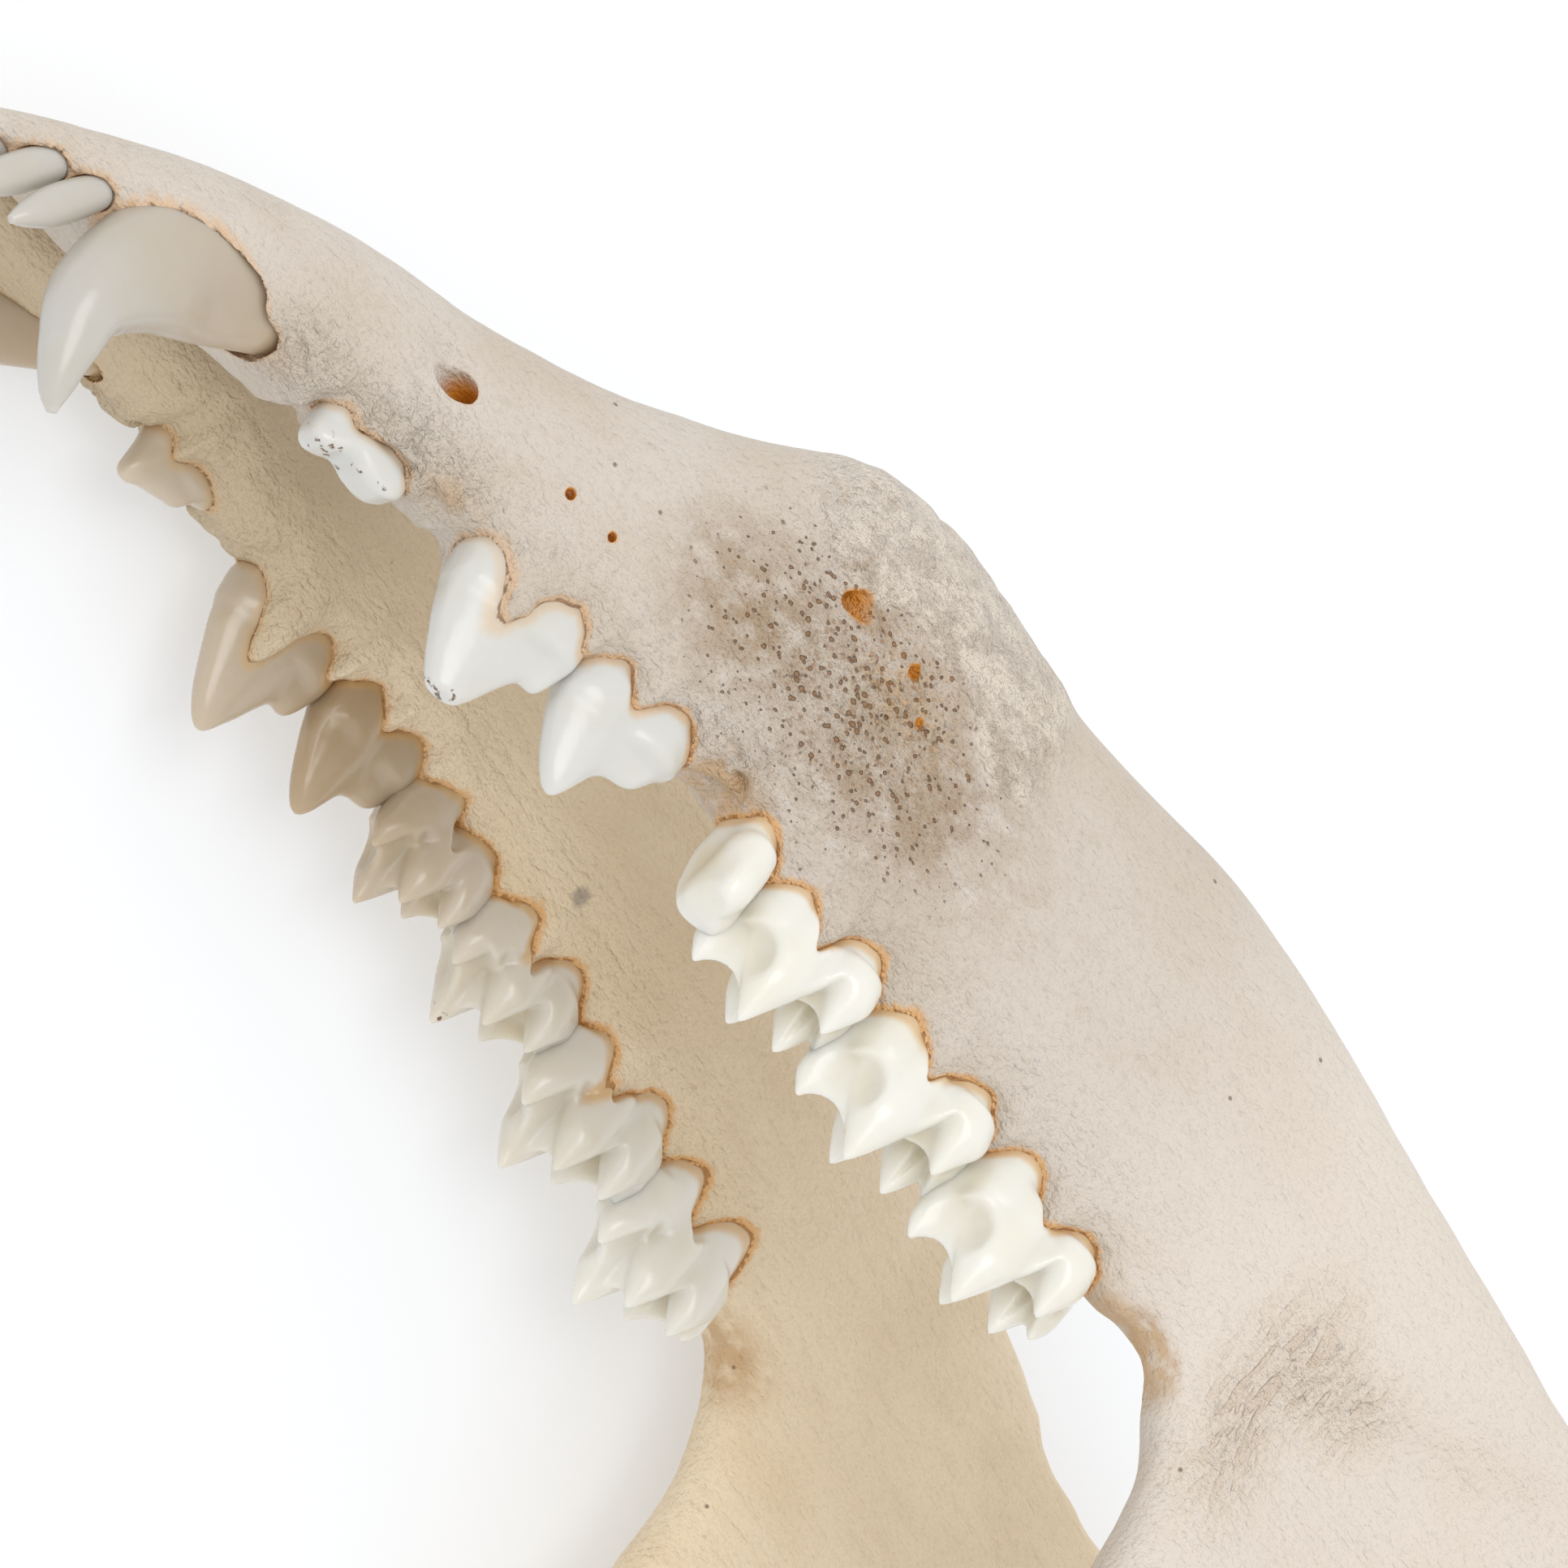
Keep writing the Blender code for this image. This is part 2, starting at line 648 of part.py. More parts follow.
def material(name, colour):
    made = bpy.data.materials.new(name)
    made.use_nodes = True
    shader = made.node_tree.nodes["Principled BSDF"]
    shader.inputs["Base Color"].default_value = (*colour, 1)
    shader.inputs["Roughness"].default_value = ROUGHNESS
    shader.inputs["Metallic"].default_value = 0.0
    return made


def dentary(side, colour):
    whole = bone("bone " + side, swollen=side == "right")
    whole = join("dentary_" + side, [whole] + teeth(side))
    for polygon in whole.data.polygons:
        polygon.use_smooth = True
    whole.data.materials.clear()
    whole.data.materials.append(material("Bone " + side, colour))
    return whole


def main():
    for obj in list(bpy.data.objects):
        bpy.data.objects.remove(obj)
    right = dentary("right", RIGHT_COLOUR)
    mirror(right)
    left = dentary("left", LEFT_COLOUR)
    return lay_down([right, left])


turn_used, shift_used = main()
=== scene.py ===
"""The looks of a Virginia opossum's lower jaw: two bones, their teeth, and a pale studio floor.

Shapes are worked out in the jaw's own frame, in millimetres: x forward along the midline,
y out from it and z up from the tooth line. Each bone is made as the left one, the right one
is mirrored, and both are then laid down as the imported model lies.
"""

import json
import math

import bmesh
import bpy
import numpy as np
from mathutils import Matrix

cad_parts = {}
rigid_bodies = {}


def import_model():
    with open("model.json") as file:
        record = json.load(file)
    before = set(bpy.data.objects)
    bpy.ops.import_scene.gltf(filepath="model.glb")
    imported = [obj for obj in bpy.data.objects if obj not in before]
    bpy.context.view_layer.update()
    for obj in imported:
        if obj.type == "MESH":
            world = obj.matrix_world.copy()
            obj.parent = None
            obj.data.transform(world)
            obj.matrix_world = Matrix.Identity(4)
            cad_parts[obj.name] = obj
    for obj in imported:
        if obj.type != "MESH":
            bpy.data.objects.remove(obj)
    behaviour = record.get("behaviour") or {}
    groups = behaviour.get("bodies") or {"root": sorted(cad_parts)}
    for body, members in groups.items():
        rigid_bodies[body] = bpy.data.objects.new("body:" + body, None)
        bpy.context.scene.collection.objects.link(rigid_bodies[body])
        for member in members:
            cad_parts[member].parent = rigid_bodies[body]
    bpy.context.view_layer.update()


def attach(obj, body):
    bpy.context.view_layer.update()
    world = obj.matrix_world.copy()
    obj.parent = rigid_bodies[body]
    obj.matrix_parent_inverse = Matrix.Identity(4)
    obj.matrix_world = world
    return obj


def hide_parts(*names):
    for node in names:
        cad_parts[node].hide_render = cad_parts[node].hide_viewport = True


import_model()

import openvdb
from mathutils import Matrix, kdtree

bl_info = {
    "name": "Opossum lower jaw",
    "version": (1, 0, 0),
    "blender": (4, 5, 0),
    "location": "3D View > Sidebar > Opossum jaw",
    "description": "Builds the two jaw bones, their teeth and the studio around them",
    "category": "Object",
}

MM = 0.001

# The jaw lies on its left side: which way is up in its own frame, and where its origin lands.
UP = np.array((-0.159390, -0.968401, 0.191820))
SHIFT = np.array((8.3793, 7.7345, 13.9473))

SIDES = ("right", "left")
# Half the gap between the bones at the chin.
HALF_GAP = 0.15

# Level sections of the tooth-bearing body: forward, top, bottom, middle, half width.
BODY = (
    (57.2, 5.1, 4.4, 1.2, 0.7),
    (56.0, 4.7, 3.5, 1.6, 1.4),
    (54.0, 3.8, 2.1, 2.1, 2.0),
    (51.0, 3.1, 0.1, 2.7, 2.6),
    (48.0, 3.1, -1.7, 3.2, 3.1),
    (45.0, 2.2, -3.1, 3.5, 3.2),
    (42.0, 1.3, -4.4, 3.7, 2.9),
    (38.0, 0.6, -5.6, 4.2, 2.6),
    (34.0, 0.3, -7.0, 5.0, 2.5),
    (29.0, -0.2, -8.9, 5.8, 2.6),
    (23.0, -0.6, -10.4, 6.6, 2.7),
    (16.0, -0.1, -12.1, 7.2, 2.8),
    (10.0, 0.3, -13.0, 7.9, 2.9),
    (4.0, 0.9, -13.4, 9.0, 2.8),
    (-1.0, 1.5, -12.4, 10.1, 2.5),
    (-3.5, 2.0, -11.8, 10.6, 2.2),
    (-6.0, 0.9, -11.0, 11.2, 2.0),
    (-11.0, -2.0, -9.8, 12.0, 1.8),
    (-17.0, -4.5, -8.4, 12.8, 1.5),
)
# How square the sections are: 2 is an ellipse.
BODY_SQUARE = 2.5

# Heights of the rising branch: up, front edge, rear edge.
BRANCH = (
    (-8.0, -6.0, -25.0),
    (-5.0, -3.5, -30.5),
    (-1.5, -1.9, -33.0),
    (2.0, -2.7, -34.0),
    (3.6, -4.1, -33.9),
    (5.5, -4.9, -33.6),
    (9.0, -5.0, -28.6),
    (12.0, -5.3, -25.4),
    (17.0, -7.4, -23.8),
    (22.0, -11.0, -23.6),
    (25.5, -15.4, -24.0),
    (27.6, -20.2, -24.2),
)
# How far out the branch stands, and how that grows backward and upward.
BRANCH_MIDDLE = 10.4
BRANCH_SPREAD = 0.18
BRANCH_FLARE = 0.085
# How far behind its front edge the branch has what half thickness, and the least near its rear edge.
BRANCH_HALF = ((0.0, 1.45), (2.5, 1.45), (6.0, 1.0), (12.0, 0.75), (40.0, 0.75))
EDGE_HALF = 0.95

# The inturned angle: forward, medial edge, lateral edge, up, thickness.
ANGLE = (
    (-15.0, 12.3, 13.9, -7.8, 2.0),
    (-20.0, 13.0, 15.0, -6.6, 2.1),
    (-23.5, 13.3, 15.7, -6.2, 2.2),
    (-27.0, 11.2, 16.0, -6.1, 2.2),
    (-31.0, 7.8, 16.0, -6.1, 2.1),
    (-34.0, 6.3, 14.4, -5.9, 1.9),
    (-37.0, 6.2, 10.6, -5.6, 1.7),
    (-39.6, 7.0, 8.6, -5.0, 1.3),
)

# The joint knob and its neck: middle and reach.
CONDYLE = (-34.4, 16.6, 6.0)
CONDYLE_RADII = (2.1, 5.0, 2.2)
NECK = (-32.0, 15.9, 3.4)
NECK_RADII = (3.2, 2.2, 4.2)

# The healed swelling on the right bone: middle, reach ahead and behind, bulge out and down.
SWELLING_AT = 23.2
SWELLING_AHEAD = 5.3
SWELLING_BEHIND = 7.9
SWELLING_OUT = 2.0
SWELLING_DOWN = 2.5

# Where the raised crust on the swelling begins, forward and up.
CRUST_LINE = (
    *((12.0, -8.5), (14.7, -6.6), (16.9, -7.5), (20.8, -8.6)),
    *((23.2, -7.8), (25.1, -8.0), (27.1, -9.3)),
)

# The grey spot on the inner face of the left bone: forward and up, its radius and where it has faded.
SPOT_AT = np.array((15.9, -1.7))
SPOT_RADIUS = 0.26
SPOT_FADED = 0.42

# Soft patches of the right bone's swelling: middle and reach, forward, out and up.
LUMPY = ((20.0, 11.2, -7.5), (10.5, 6.0, 8.0))
POROUS = ((21.0, 10.8, -5.0), (11.5, 6.5, 7.0))
STAINED = ((18.8, 11.0, -5.0), (11.5, 6.5, 8.0))
SPONGY = ((19.6, 11.2, -6.5), (4.6, 4.0, 2.6))

# Soft patches with their strength: brown rough bone behind the molars, at the canine, and on the right
# bone between p1 and p2 and over the broken molar; crumbly bone at the premolars and canine of both
# bones and over the right broken molar; and the muscle scar on the rising branch.
RIM_BEHIND = ((1.6, (-2.3, 10.6, 2.1), (3.9, 2.8, 2.1)),)
RIM_AT_CANINE = ((0.6, (42.6, 4.7, 0.9), (1.6, 1.4, 1.2)),)
RIM_RIGHT = ((1.6, (21.4, 7.1, -0.9), (2.8, 2.2, 1.9)), (0.7, (35.0, 6.2, 0.2), (1.8, 1.6, 1.2)))
CRUMBLY_BOTH = ((1.0, (36.8, 6.4, 0.4), (4.2, 2.4, 3.0)), (1.0, (41.8, 5.2, 0.8), (3.6, 2.4, 2.8)))
CRUMBLY_RIGHT = ((1.0, (22.0, 7.6, -1.8), (3.6, 2.6, 2.4)),)
SCARRED = ((1.0, (-6.4, 13.6, 1.0), (3.6, 3.6, 7.5)), (0.7, (-9.6, 14.0, -1.4), (3.8, 3.6, 3.2)))

# Hollows in the bone: middle and reach. One lies on the swelling, one behind the nerve opening ahead
# of the premolars, and the last is where the broken molar's edge of bone has been eaten away.
SWELLING_HOLLOW = ((21.6, 11.3, -8.0), (2.6, 3.0, 1.4))
NERVE_HOLLOW = ((38.5, 6.4, -2.9), (1.9, 2.0, 0.8))
GNAWED = ((21.3, 7.3, -1.5), (2.4, 2.0, 1.6))

# Darkest patches of the stain on the swelling: middle and reach.
STAINS = (
    ((16.2, 10.9, -5.4), (3.4, 4.0, 3.0)),
    ((19.3, 10.8, -3.4), (3.6, 4.0, 2.2)),
    ((16.3, 10.9, -4.2), (3.6, 4.0, 3.4)),
    ((25.3, 9.6, -4.3), (5.0, 4.0, 3.6)),
    ((22.3, 10.6, -7.4), (2.0, 3.0, 1.6)),
)

# Nerve openings: place, direction inward, two radii, depth.
OPENINGS_BOTH = (
    ((37.0, 6.3, -2.4), (-0.80, -0.60, -0.05), 0.48, 0.54, 2.3),
    ((22.9, 10.4, -7.2), (0.55, -0.80, 0.25), 0.46, 0.52, 2.6),
    ((-21.5, 11.0, -0.6), (0.85, 0.52, -0.10), 1.1, 0.7, 2.2),
)
OPENINGS_RIGHT = (
    ((32.6, 7.9, -2.6), (-0.4, -0.9, 0.0), 0.22, 0.20, 1.0),
    ((30.6, 8.2, -2.6), (-0.3, -0.95, 0.0), 0.18, 0.16, 1.0),
    ((20.0, 11.1, -7.3), (-0.3, -0.95, 0.1), 0.26, 0.34, 1.0),
    ((18.7, 11.1, -6.4), (-0.3, -0.95, 0.1), 0.24, 0.30, 1.0),
)

# A nerve opening's width from outside to its blind end, as shares of its depth and radius.
FUNNEL = ((-1.0, 1.5), (-0.15, 1.15), (0.15, 0.95), (0.6, 0.8), (1.0, 0.35))

# The joined sections are remeshed twice: cell size, then rounds of smoothing.
BLEND_VOXEL = 0.62
BLEND_ROUNDS = 6
FINE_VOXEL = 0.32
FINE_ROUNDS = 3

# Cheek teeth: front end forward, out and up, length, width, turn and pitch in degrees.
CHEEK = {
    "p1": (39.75, 4.40, 0.35, 3.7, 1.5, 7.0, -1.0),
    "p2": (33.40, 5.60, 0.05, 5.35, 2.4, 8.3, -7.0),
    "p3": (27.90, 6.05, -0.40, 5.1, 2.3, 8.4, -5.5),
    "m1": (23.10, 6.55, -0.60, 5.2, 2.9, 6.5, 2.8),
    "m2": (17.95, 6.85, -0.20, 5.8, 3.4, 7.4, 1.5),
    "m3": (12.10, 7.50, 0.05, 6.3, 3.6, 7.6, 2.4),
    "m4": (5.75, 8.35, 0.60, 6.1, 3.3, 8.3, 4.3),
}
PREMOLARS = ("p1", "p2", "p3")
MOLARS = ("m1", "m2", "m3", "m4")

# Premolar profiles: share of the length, then height in millimetres.
PROFILES = {
    "p1": (
        *((-0.12, 0.6), (-0.03, 2.1), (0.06, 2.3), (0.3, 1.9)),
        *((0.55, 1.5), (0.73, 1.2), (0.84, 0.6), (1.1, 0.1)),
    ),
    "p1 worn": (
        *((-0.12, 0.9), (0.0, 1.4), (0.1, 1.55), (0.26, 1.4)),
        *((0.4, 1.15), (0.6, 1.35), (0.85, 1.3), (1.1, 0.7)),
    ),
    "p2": (
        *((-0.06, 1.2), (0.05, 3.0), (0.22, 5.0), (0.37, 5.6), (0.5, 4.8)),
        *((0.73, 3.0), (0.9, 2.7), (1.0, 1.7), (1.1, 0.1)),
    ),
    "p3": (
        *((-0.1, 1.0), (0.0, 2.3), (0.2, 4.4), (0.33, 4.8)),
        *((0.52, 3.2), (0.84, 2.4), (1.0, 1.1), (1.1, 0.1)),
    ),
}

# Molar cusps as shares of length and half width, height in millimetres, and the radius of the lobe
# below as a share of half the width.
CUSPS = {
    "protoconid": (0.37, 0.46, 5.2, 0.70),
    "paraconid": (0.05, -0.38, 4.0, 0.52),
    "metaconid": (0.46, -0.52, 4.5, 0.54),
    "hypoconid": (0.79, 0.72, 3.3, 0.62),
    "entoconid": (0.80, -0.62, 3.7, 0.50),
    "hypoconulid": (0.97, -0.35, 2.9, 0.44),
    "cingulid": (0.14, 0.42, 1.9, 0.46),
}
CRESTS = (
    ("paraconid", "cingulid", 0.02),
    ("paraconid", "protoconid", 0.24),
    ("protoconid", "metaconid", 0.20),
    ("metaconid", "hypoconid", 0.42),
    ("hypoconid", "hypoconulid", 0.16),
    ("hypoconulid", "entoconid", 0.25),
    ("entoconid", "metaconid", 0.55),
)
# How steeply cusps and crests fall away, and how round they are on top.
CUSP_SLOPE = 2.0
CUSP_ROUND = 0.13
MOLAR_SCALE = {"m1": 0.86, "m2": 0.95, "m3": 1.0, "m4": 1.0}
# How wide a molar's crown and a cheek tooth's roots are at what height, as a share.
CROWN_BELLY = ((0.0, 0.84), (1.2, 1.0), (2.4, 0.97), (5.2, 0.72))
ROOT_SIZE = ((-5.0, 0.60), (-2.5, 0.88), (0.0, 1.0), (1.5, 1.04))
ROOT_DEPTH = 4.0
# Cell of the grids that the cheek teeth are drawn on.
TOOTH_STEP = 0.092

# Heights at which worn and broken teeth end, and the share of m1 that broke away.
P2_CUT = 5.1
STUMP_SPARE = 0.17
M1_BROKEN_TO = 0.58
M1_TOP = 3.6
M2_WORN = 0.12

# How much wider than its tooth a socket is on each side, and how deep.
SOCKET_GAP = 0.09
SOCKET_DEPTH = 2.6

CANINE_AXIS = (
    (38.5, 3.2, -3.4, 1.1, 1.0),
    (42.2, 3.8, -1.3, 1.75, 1.45),
    (45.4, 4.4, 0.8, 2.2, 1.75),
    (47.7, 4.8, 2.9, 2.1, 1.65),
    (48.7, 5.1, 5.4, 1.5, 1.3),
    (48.35, 5.2, 7.2, 1.02, 0.92),
    (47.8, 5.2, 8.6, 0.58, 0.54),
    (47.4, 5.2, 9.25, 0.2, 0.2),
)
CANINE_AROUND = 96
CANINE_RINGS = 170
# The shallow hollow along the canine's hind lower side: middle and reach.
CANINE_HOLLOW = ((45.0, 6.2, 2.2), (3.2, 2.2, 1.8))
# Height above the neck from which a worn face shows brown flecks.
WORN_FROM = {("p1", "right"): 1.25, ("p2", "right"): 4.95, ("m2", "left"): 3.9}
# How far the canine's socket is set back from the tooth, so that the crack opens behind it.
CANINE_LOOSE = (-0.12, 0.02, 0.04)
# Front teeth: gum point and tip, each forward, out and up, then the widest radius.
INCISORS = (
    ((54.9, 1.5, 3.4), (57.1, 1.4, 6.9), 0.56),
    ((53.0, 2.8, 2.3), (55.1, 2.8, 6.0), 0.58),
    ((51.5, 3.8, 1.7), (53.8, 3.85, 5.8), 0.60),
    ((50.1, 4.4, 1.7), (52.3, 4.6, 5.7), 0.60),
)
# Shares of an incisor's length with its radius there, as a share of the widest.
INCISOR_SHAPE = (
    *((0.04, 0.3), (0.07, 0.6), (0.14, 0.8), (0.42, 0.97)),
    *((0.66, 0.92), (0.86, 0.6), (1.0, 0.2)),
)
INCISOR_DEEPER = 1.15

# Share of a cheek tooth's length at which its two roots part.
PARTING = {"p1": 0.30, "p2": 0.41, "p3": 0.44, "m1": 0.45, "m2": 0.43, "m3": 0.41, "m4": 0.46}

# How high the bony points between a tooth's two roots reach above its neck line.
NOTCH = {"p1": 0.35, "p2": 2.1, "p3": 0.8, "m1": 1.3, "m2": 1.45, "m3": 1.35, "m4": 1.0}

# Outer margin of the bone, forward, out and up: it arches round each root and points between them.
MARGIN = (
    ((-1.0, 10.6, 1.75), (0.0, 10.55, 1.6), (0.9, 10.45, 0.8), (1.7, 10.35, 0.75), (2.5, 10.25, 1.15))
    + ((3.2, 10.2, 1.75), (3.5, 10.15, 1.0), (4.1, 10.1, 0.4), (5.2, 10.0, 0.2), (6.1, 9.95, 0.45))
    + ((6.5, 9.9, 0.2), (7.5, 9.8, -0.2), (8.4, 9.75, -0.05), (9.1, 9.7, 0.4), (9.85, 9.6, 1.5))
    + ((10.3, 9.5, 0.7), (10.9, 9.4, 0.1), (12.2, 8.95, 0.05), (12.5, 8.9, -0.1), (13.5, 8.85, -0.6))
    + ((15.0, 8.75, -0.1), (15.75, 8.7, 1.25), (16.1, 8.7, 0.2), (16.8, 8.65, -0.3), (18.2, 8.6, -0.35))
    + ((18.9, 8.5, -0.9), (20.4, 8.35, -1.0), (21.6, 8.2, -1.0), (23.1, 7.95, -0.5), (23.7, 7.6, -1.15))
    + ((24.9, 7.5, -0.85), (25.75, 7.45, 0.1), (26.1, 7.4, -0.55), (26.9, 7.3, -0.95), (28.2, 7.35, -0.2))
    + ((28.4, 7.35, 0.2), (28.9, 7.3, -0.5), (29.4, 7.2, -0.7), (30.4, 7.1, -0.05), (30.95, 7.05, 1.25))
    + ((31.35, 7.0, 2.05), (31.9, 6.95, 1.2), (32.6, 6.85, 0.1), (33.3, 6.7, -0.35), (34.2, 6.4, -0.05))
    + ((34.7, 5.6, 0.35), (36.0, 5.6, 0.35), (36.6, 5.6, 0.2), (37.3, 5.5, 0.1), (38.2, 5.4, 0.4))
    + ((38.75, 5.35, 0.85), (39.15, 5.3, 0.35), (39.75, 5.2, 0.3), (40.45, 5.2, 0.9), (42.0, 5.1, 1.2))
)
MARGIN_REACH = 1.6

# Along the jaw, how golden the gum line is, and how much painted shade darkens the left teeth.
GOLD_ALONG = ((-2.0, 1.0), (19.0, 0.95), (27.0, 0.7), (33.0, 0.45), (60.0, 0.6))
LEFT_SHADE_ALONG = (
    *((0.0, 0.0), (5.0, 0.0), (9.0, 0.2), (16.0, 0.34)),
    *((23.0, 0.8), (27.0, 1.0), (31.0, 0.7), (42.0, 0.6)),
)
# The margin is rounded over this far each way, and blending has sunk the bone's top this much.
MARGIN_ROUNDING = 0.22
SUNK = 0.15

# The camera's place, view and upright in the jaw's own frame, and its lens.
CAMERA_AT = (150.357, -221.696, 145.097)
CAMERA_LOOK = (-0.44913, 0.73568, -0.50701)
CAMERA_UP = (0.71095, -0.04942, -0.70151)
CAMERA_LENS = 205.15
SENSOR = 36.0

# Where the large lamp stands, forward, out and up from the jaw, with its width and distance in metres.
KEY_FROM = (0.30, -0.945, 0.10)
KEY_SIZE = 0.45
KEY_AWAY = 0.7


# Settings of nodes that are used often.
TIMES = {"operation": "MULTIPLY"}
TIMES_PLUS = {"operation": "MULTIPLY_ADD"}
LESS = {"operation": "SUBTRACT"}
LARGER = {"operation": "MAXIMUM"}
ABOVE = {"operation": "GREATER_THAN"}
SMOOTH = {"interpolation_type": "SMOOTHSTEP"}
COLOURS = {"data_type": "RGBA"}

BONE_MASKS = (
    ("pores", "stain", "sponge", "rim", "crumbly", "crust", "scar", "crack", "front", "pale", "spot")
    + ("amber", "deep")
)
TOOTH_MASKS = ("neck", "smoke", "valley", "worn")

# Patterns of bone, in bumps a millimetre forward, sideways and up, with their detail and roughness:
# clouds 5 to 8 mm across, fibres 0.4 mm wide, mottling of about 1 mm, a chalky surface of 0.25 mm,
# coarser than the real one so that it shows, and streaks 0.4 mm wide and 2 mm long.
BONE_GRAINS = (
    ((0.12, 0.2, 0.2), 2.0),
    ((0.28, 2.4, 2.4), 2.0, 0.6),
    ((0.8, 1.2, 1.2), 2.0, 0.65),
    ((3.2, 4.5, 4.5), 2.0, 0.6),
    ((2.4, 0.45, 2.4), 1.0, 0.6),
)
# Patterns of enamel: clouds of 2 mm, brown flecks of 0.4 mm and a ripple of 0.8 mm.
ENAMEL_GRAINS = (((0.5, 0.5, 0.5), 2.0), ((2.4, 2.4, 2.4), 3.0), ((1.2, 1.2, 1.2), 2.0))

# Cells in millimetres that hold one pore or one dark speck each.
LARGE_PORES = (0.36, 0.26, 0.26)
SMALL_PORES = (0.34, 0.26, 0.26)
SPECK_CELLS = (2.0, 2.0, 2.0)


def linear(code):
    """Linear colour of an sRGB hex value."""
    values = [int(code[i : i + 2], 16) / 255 for i in (1, 3, 5)]
    return tuple(v / 12.92 if v <= 0.04045 else ((v + 0.055) / 1.055) ** 2.4 for v in values)


def colour_setting(name, description, code):
    return bpy.props.FloatVectorProperty(
        name=name, description=description, subtype="COLOR", size=3, min=0.0, max=1.0, default=linear(code)
    )


def share_setting(name, description, value):
    return bpy.props.FloatProperty(
        name=name, description=description, subtype="FACTOR", min=0.0, max=1.0, default=value
    )


class BoneSettings(bpy.types.PropertyGroup):
    right_colour: colour_setting("Right bone", "Clean bone on the right side", "#C5BBAF")
    # The left bone's warmer tone is partly painted light: warm light thrown between the two bones.
    left_colour: colour_setting("Left bone", "Warmer bone on the left side", "#E3D1B3")
    stain_colour: colour_setting("Stain", "Grey-brown stain round the healed swelling", "#A18A70")
    socket_colour: colour_setting("Sockets", "Amber bone in tooth sockets and nerve openings", "#D49C52")
    roughness: share_setting("Roughness", "Dullness of the dry bone", 0.55)


class ToothSettings(bpy.types.PropertyGroup):
    enamel_colour: colour_setting("Enamel", "Crown enamel", "#E0DED6")
    front_colour: colour_setting("Front enamel", "Duller enamel of the canines and incisors", "#BCB9B3")
    neck_colour: colour_setting("Neck", "Yellow-brown at the neck and in the valleys", "#D2A765")
    gloss_roughness: share_setting("Roughness", "Dullness of the enamel", 0.24)


class StageSettings(bpy.types.PropertyGroup):
    floor_size: bpy.props.FloatProperty(
        name="Floor",
        description="Side of the square floor",
        subtype="DISTANCE",
        unit="LENGTH",
        min=0.1,
        default=6.0,
    )
    floor_colour: colour_setting("Floor colour", "Plain pale floor", "#C4C7CB")
    floor_glow: bpy.props.FloatProperty(
        name="Floor glow",
        description="Light that the paper lets through from below",
        min=0.0,
        default=0.39,
    )
    key_power: bpy.props.FloatProperty(
        name="Key light",
        description="Power of the large soft lamp",
        subtype="POWER",
        unit="POWER",
        min=0.0,
        default=1.3,
    )
    sky: bpy.props.FloatProperty(
        name="Room light",
        description="Strength of the even white light all round",
        min=0.0,
        default=1.0,
    )


def smooth_table(table, at):
    """Smooth values of every column of a table at the places asked for."""
    rows = np.array(sorted(table), float)
    x = rows[:, 0]
    y = rows[:, 1:]
    slope = np.gradient(y, x, axis=0)
    index = np.clip(np.searchsorted(x, at) - 1, 0, len(x) - 2)
    step = (x[index + 1] - x[index])[:, None]
    t = ((at - x[index]) / step[:, 0])[:, None]
    h00 = 2 * t**3 - 3 * t**2 + 1
    h10 = t**3 - 2 * t**2 + t
    h01 = -2 * t**3 + 3 * t**2
    h11 = t**3 - t**2
    return h00 * y[index] + h10 * step * slope[index] + h01 * y[index + 1] + h11 * step * slope[index + 1]


def table_at(table, place):
    """A value from a table of places and values, straight between its rows."""
    return np.interp(place, *zip(*table))


def ease(low, high, value):
    """0 below low, 1 above high and a smooth step between; low may be the larger."""
    t = np.clip((value - low) / (high - low), 0, 1)
    return t * t * (3 - 2 * t)


def chance(cells, seed):
    """A repeatable number from 0 to 1 for each lattice cell."""
    key = cells[..., 0] * 73856093 ^ cells[..., 1] * 19349663 ^ cells[..., 2] * 83492791 ^ (seed * 2654435)
    key = (key ^ (key >> 13)) * 1274126177 & 0x7FFFFFFF
    key = (key ^ (key >> 15)) * 668265263 & 0x7FFFFFFF
    return (key & 0xFFFFF) / 0xFFFFF


def rough(points, size, seed):
    """Soft lattice noise from -1 to 1 whose bumps are about size across."""
    places = points / np.asarray(size, float) + seed * 7.31
    cells = np.floor(places).astype(np.int64)
    t = places - cells
    t = t * t * (3 - 2 * t)
    total = np.zeros(len(points))
    for dx in (0, 1):
        for dy in (0, 1):
            for dz in (0, 1):
                corner = chance(cells + np.array((dx, dy, dz)), seed)
                wx = t[:, 0] if dx else 1 - t[:, 0]
                wy = t[:, 1] if dy else 1 - t[:, 1]
                wz = t[:, 2] if dz else 1 - t[:, 2]
                total += corner * wx * wy * wz
    return total * 2 - 1


def to_pore(points, size, seed):
    """Distance to the nearest of a scatter of points, one for each cell of this size."""
    places = points / size
    cells = np.floor(places).astype(np.int64)
    best = np.full(len(points), 9.0)
    for dx in (-1, 0, 1):
        for dy in (-1, 0, 1):
            for dz in (-1, 0, 1):
                cell = cells + np.array((dx, dy, dz))
                spot = np.stack([chance(cell, seed + k) for k in range(3)], 1)
                best = np.minimum(best, np.linalg.norm(cell + spot - places, axis=1))
    return best * size


def turn_matrix():
    """The turn that lays the jaw down, its front towards -X and its teeth towards -Y."""
    forward = np.array((1.0, 0.0, 0.0))
    x_axis = UP * UP.dot(forward) - forward
    x_axis /= np.linalg.norm(x_axis)
    return np.array((x_axis, np.cross(UP, x_axis), UP))


TURN = turn_matrix()


def to_world(points):
    """Jaw millimetres to metres on the floor."""
    return (np.asarray(points, float) @ TURN.T + SHIFT) * MM


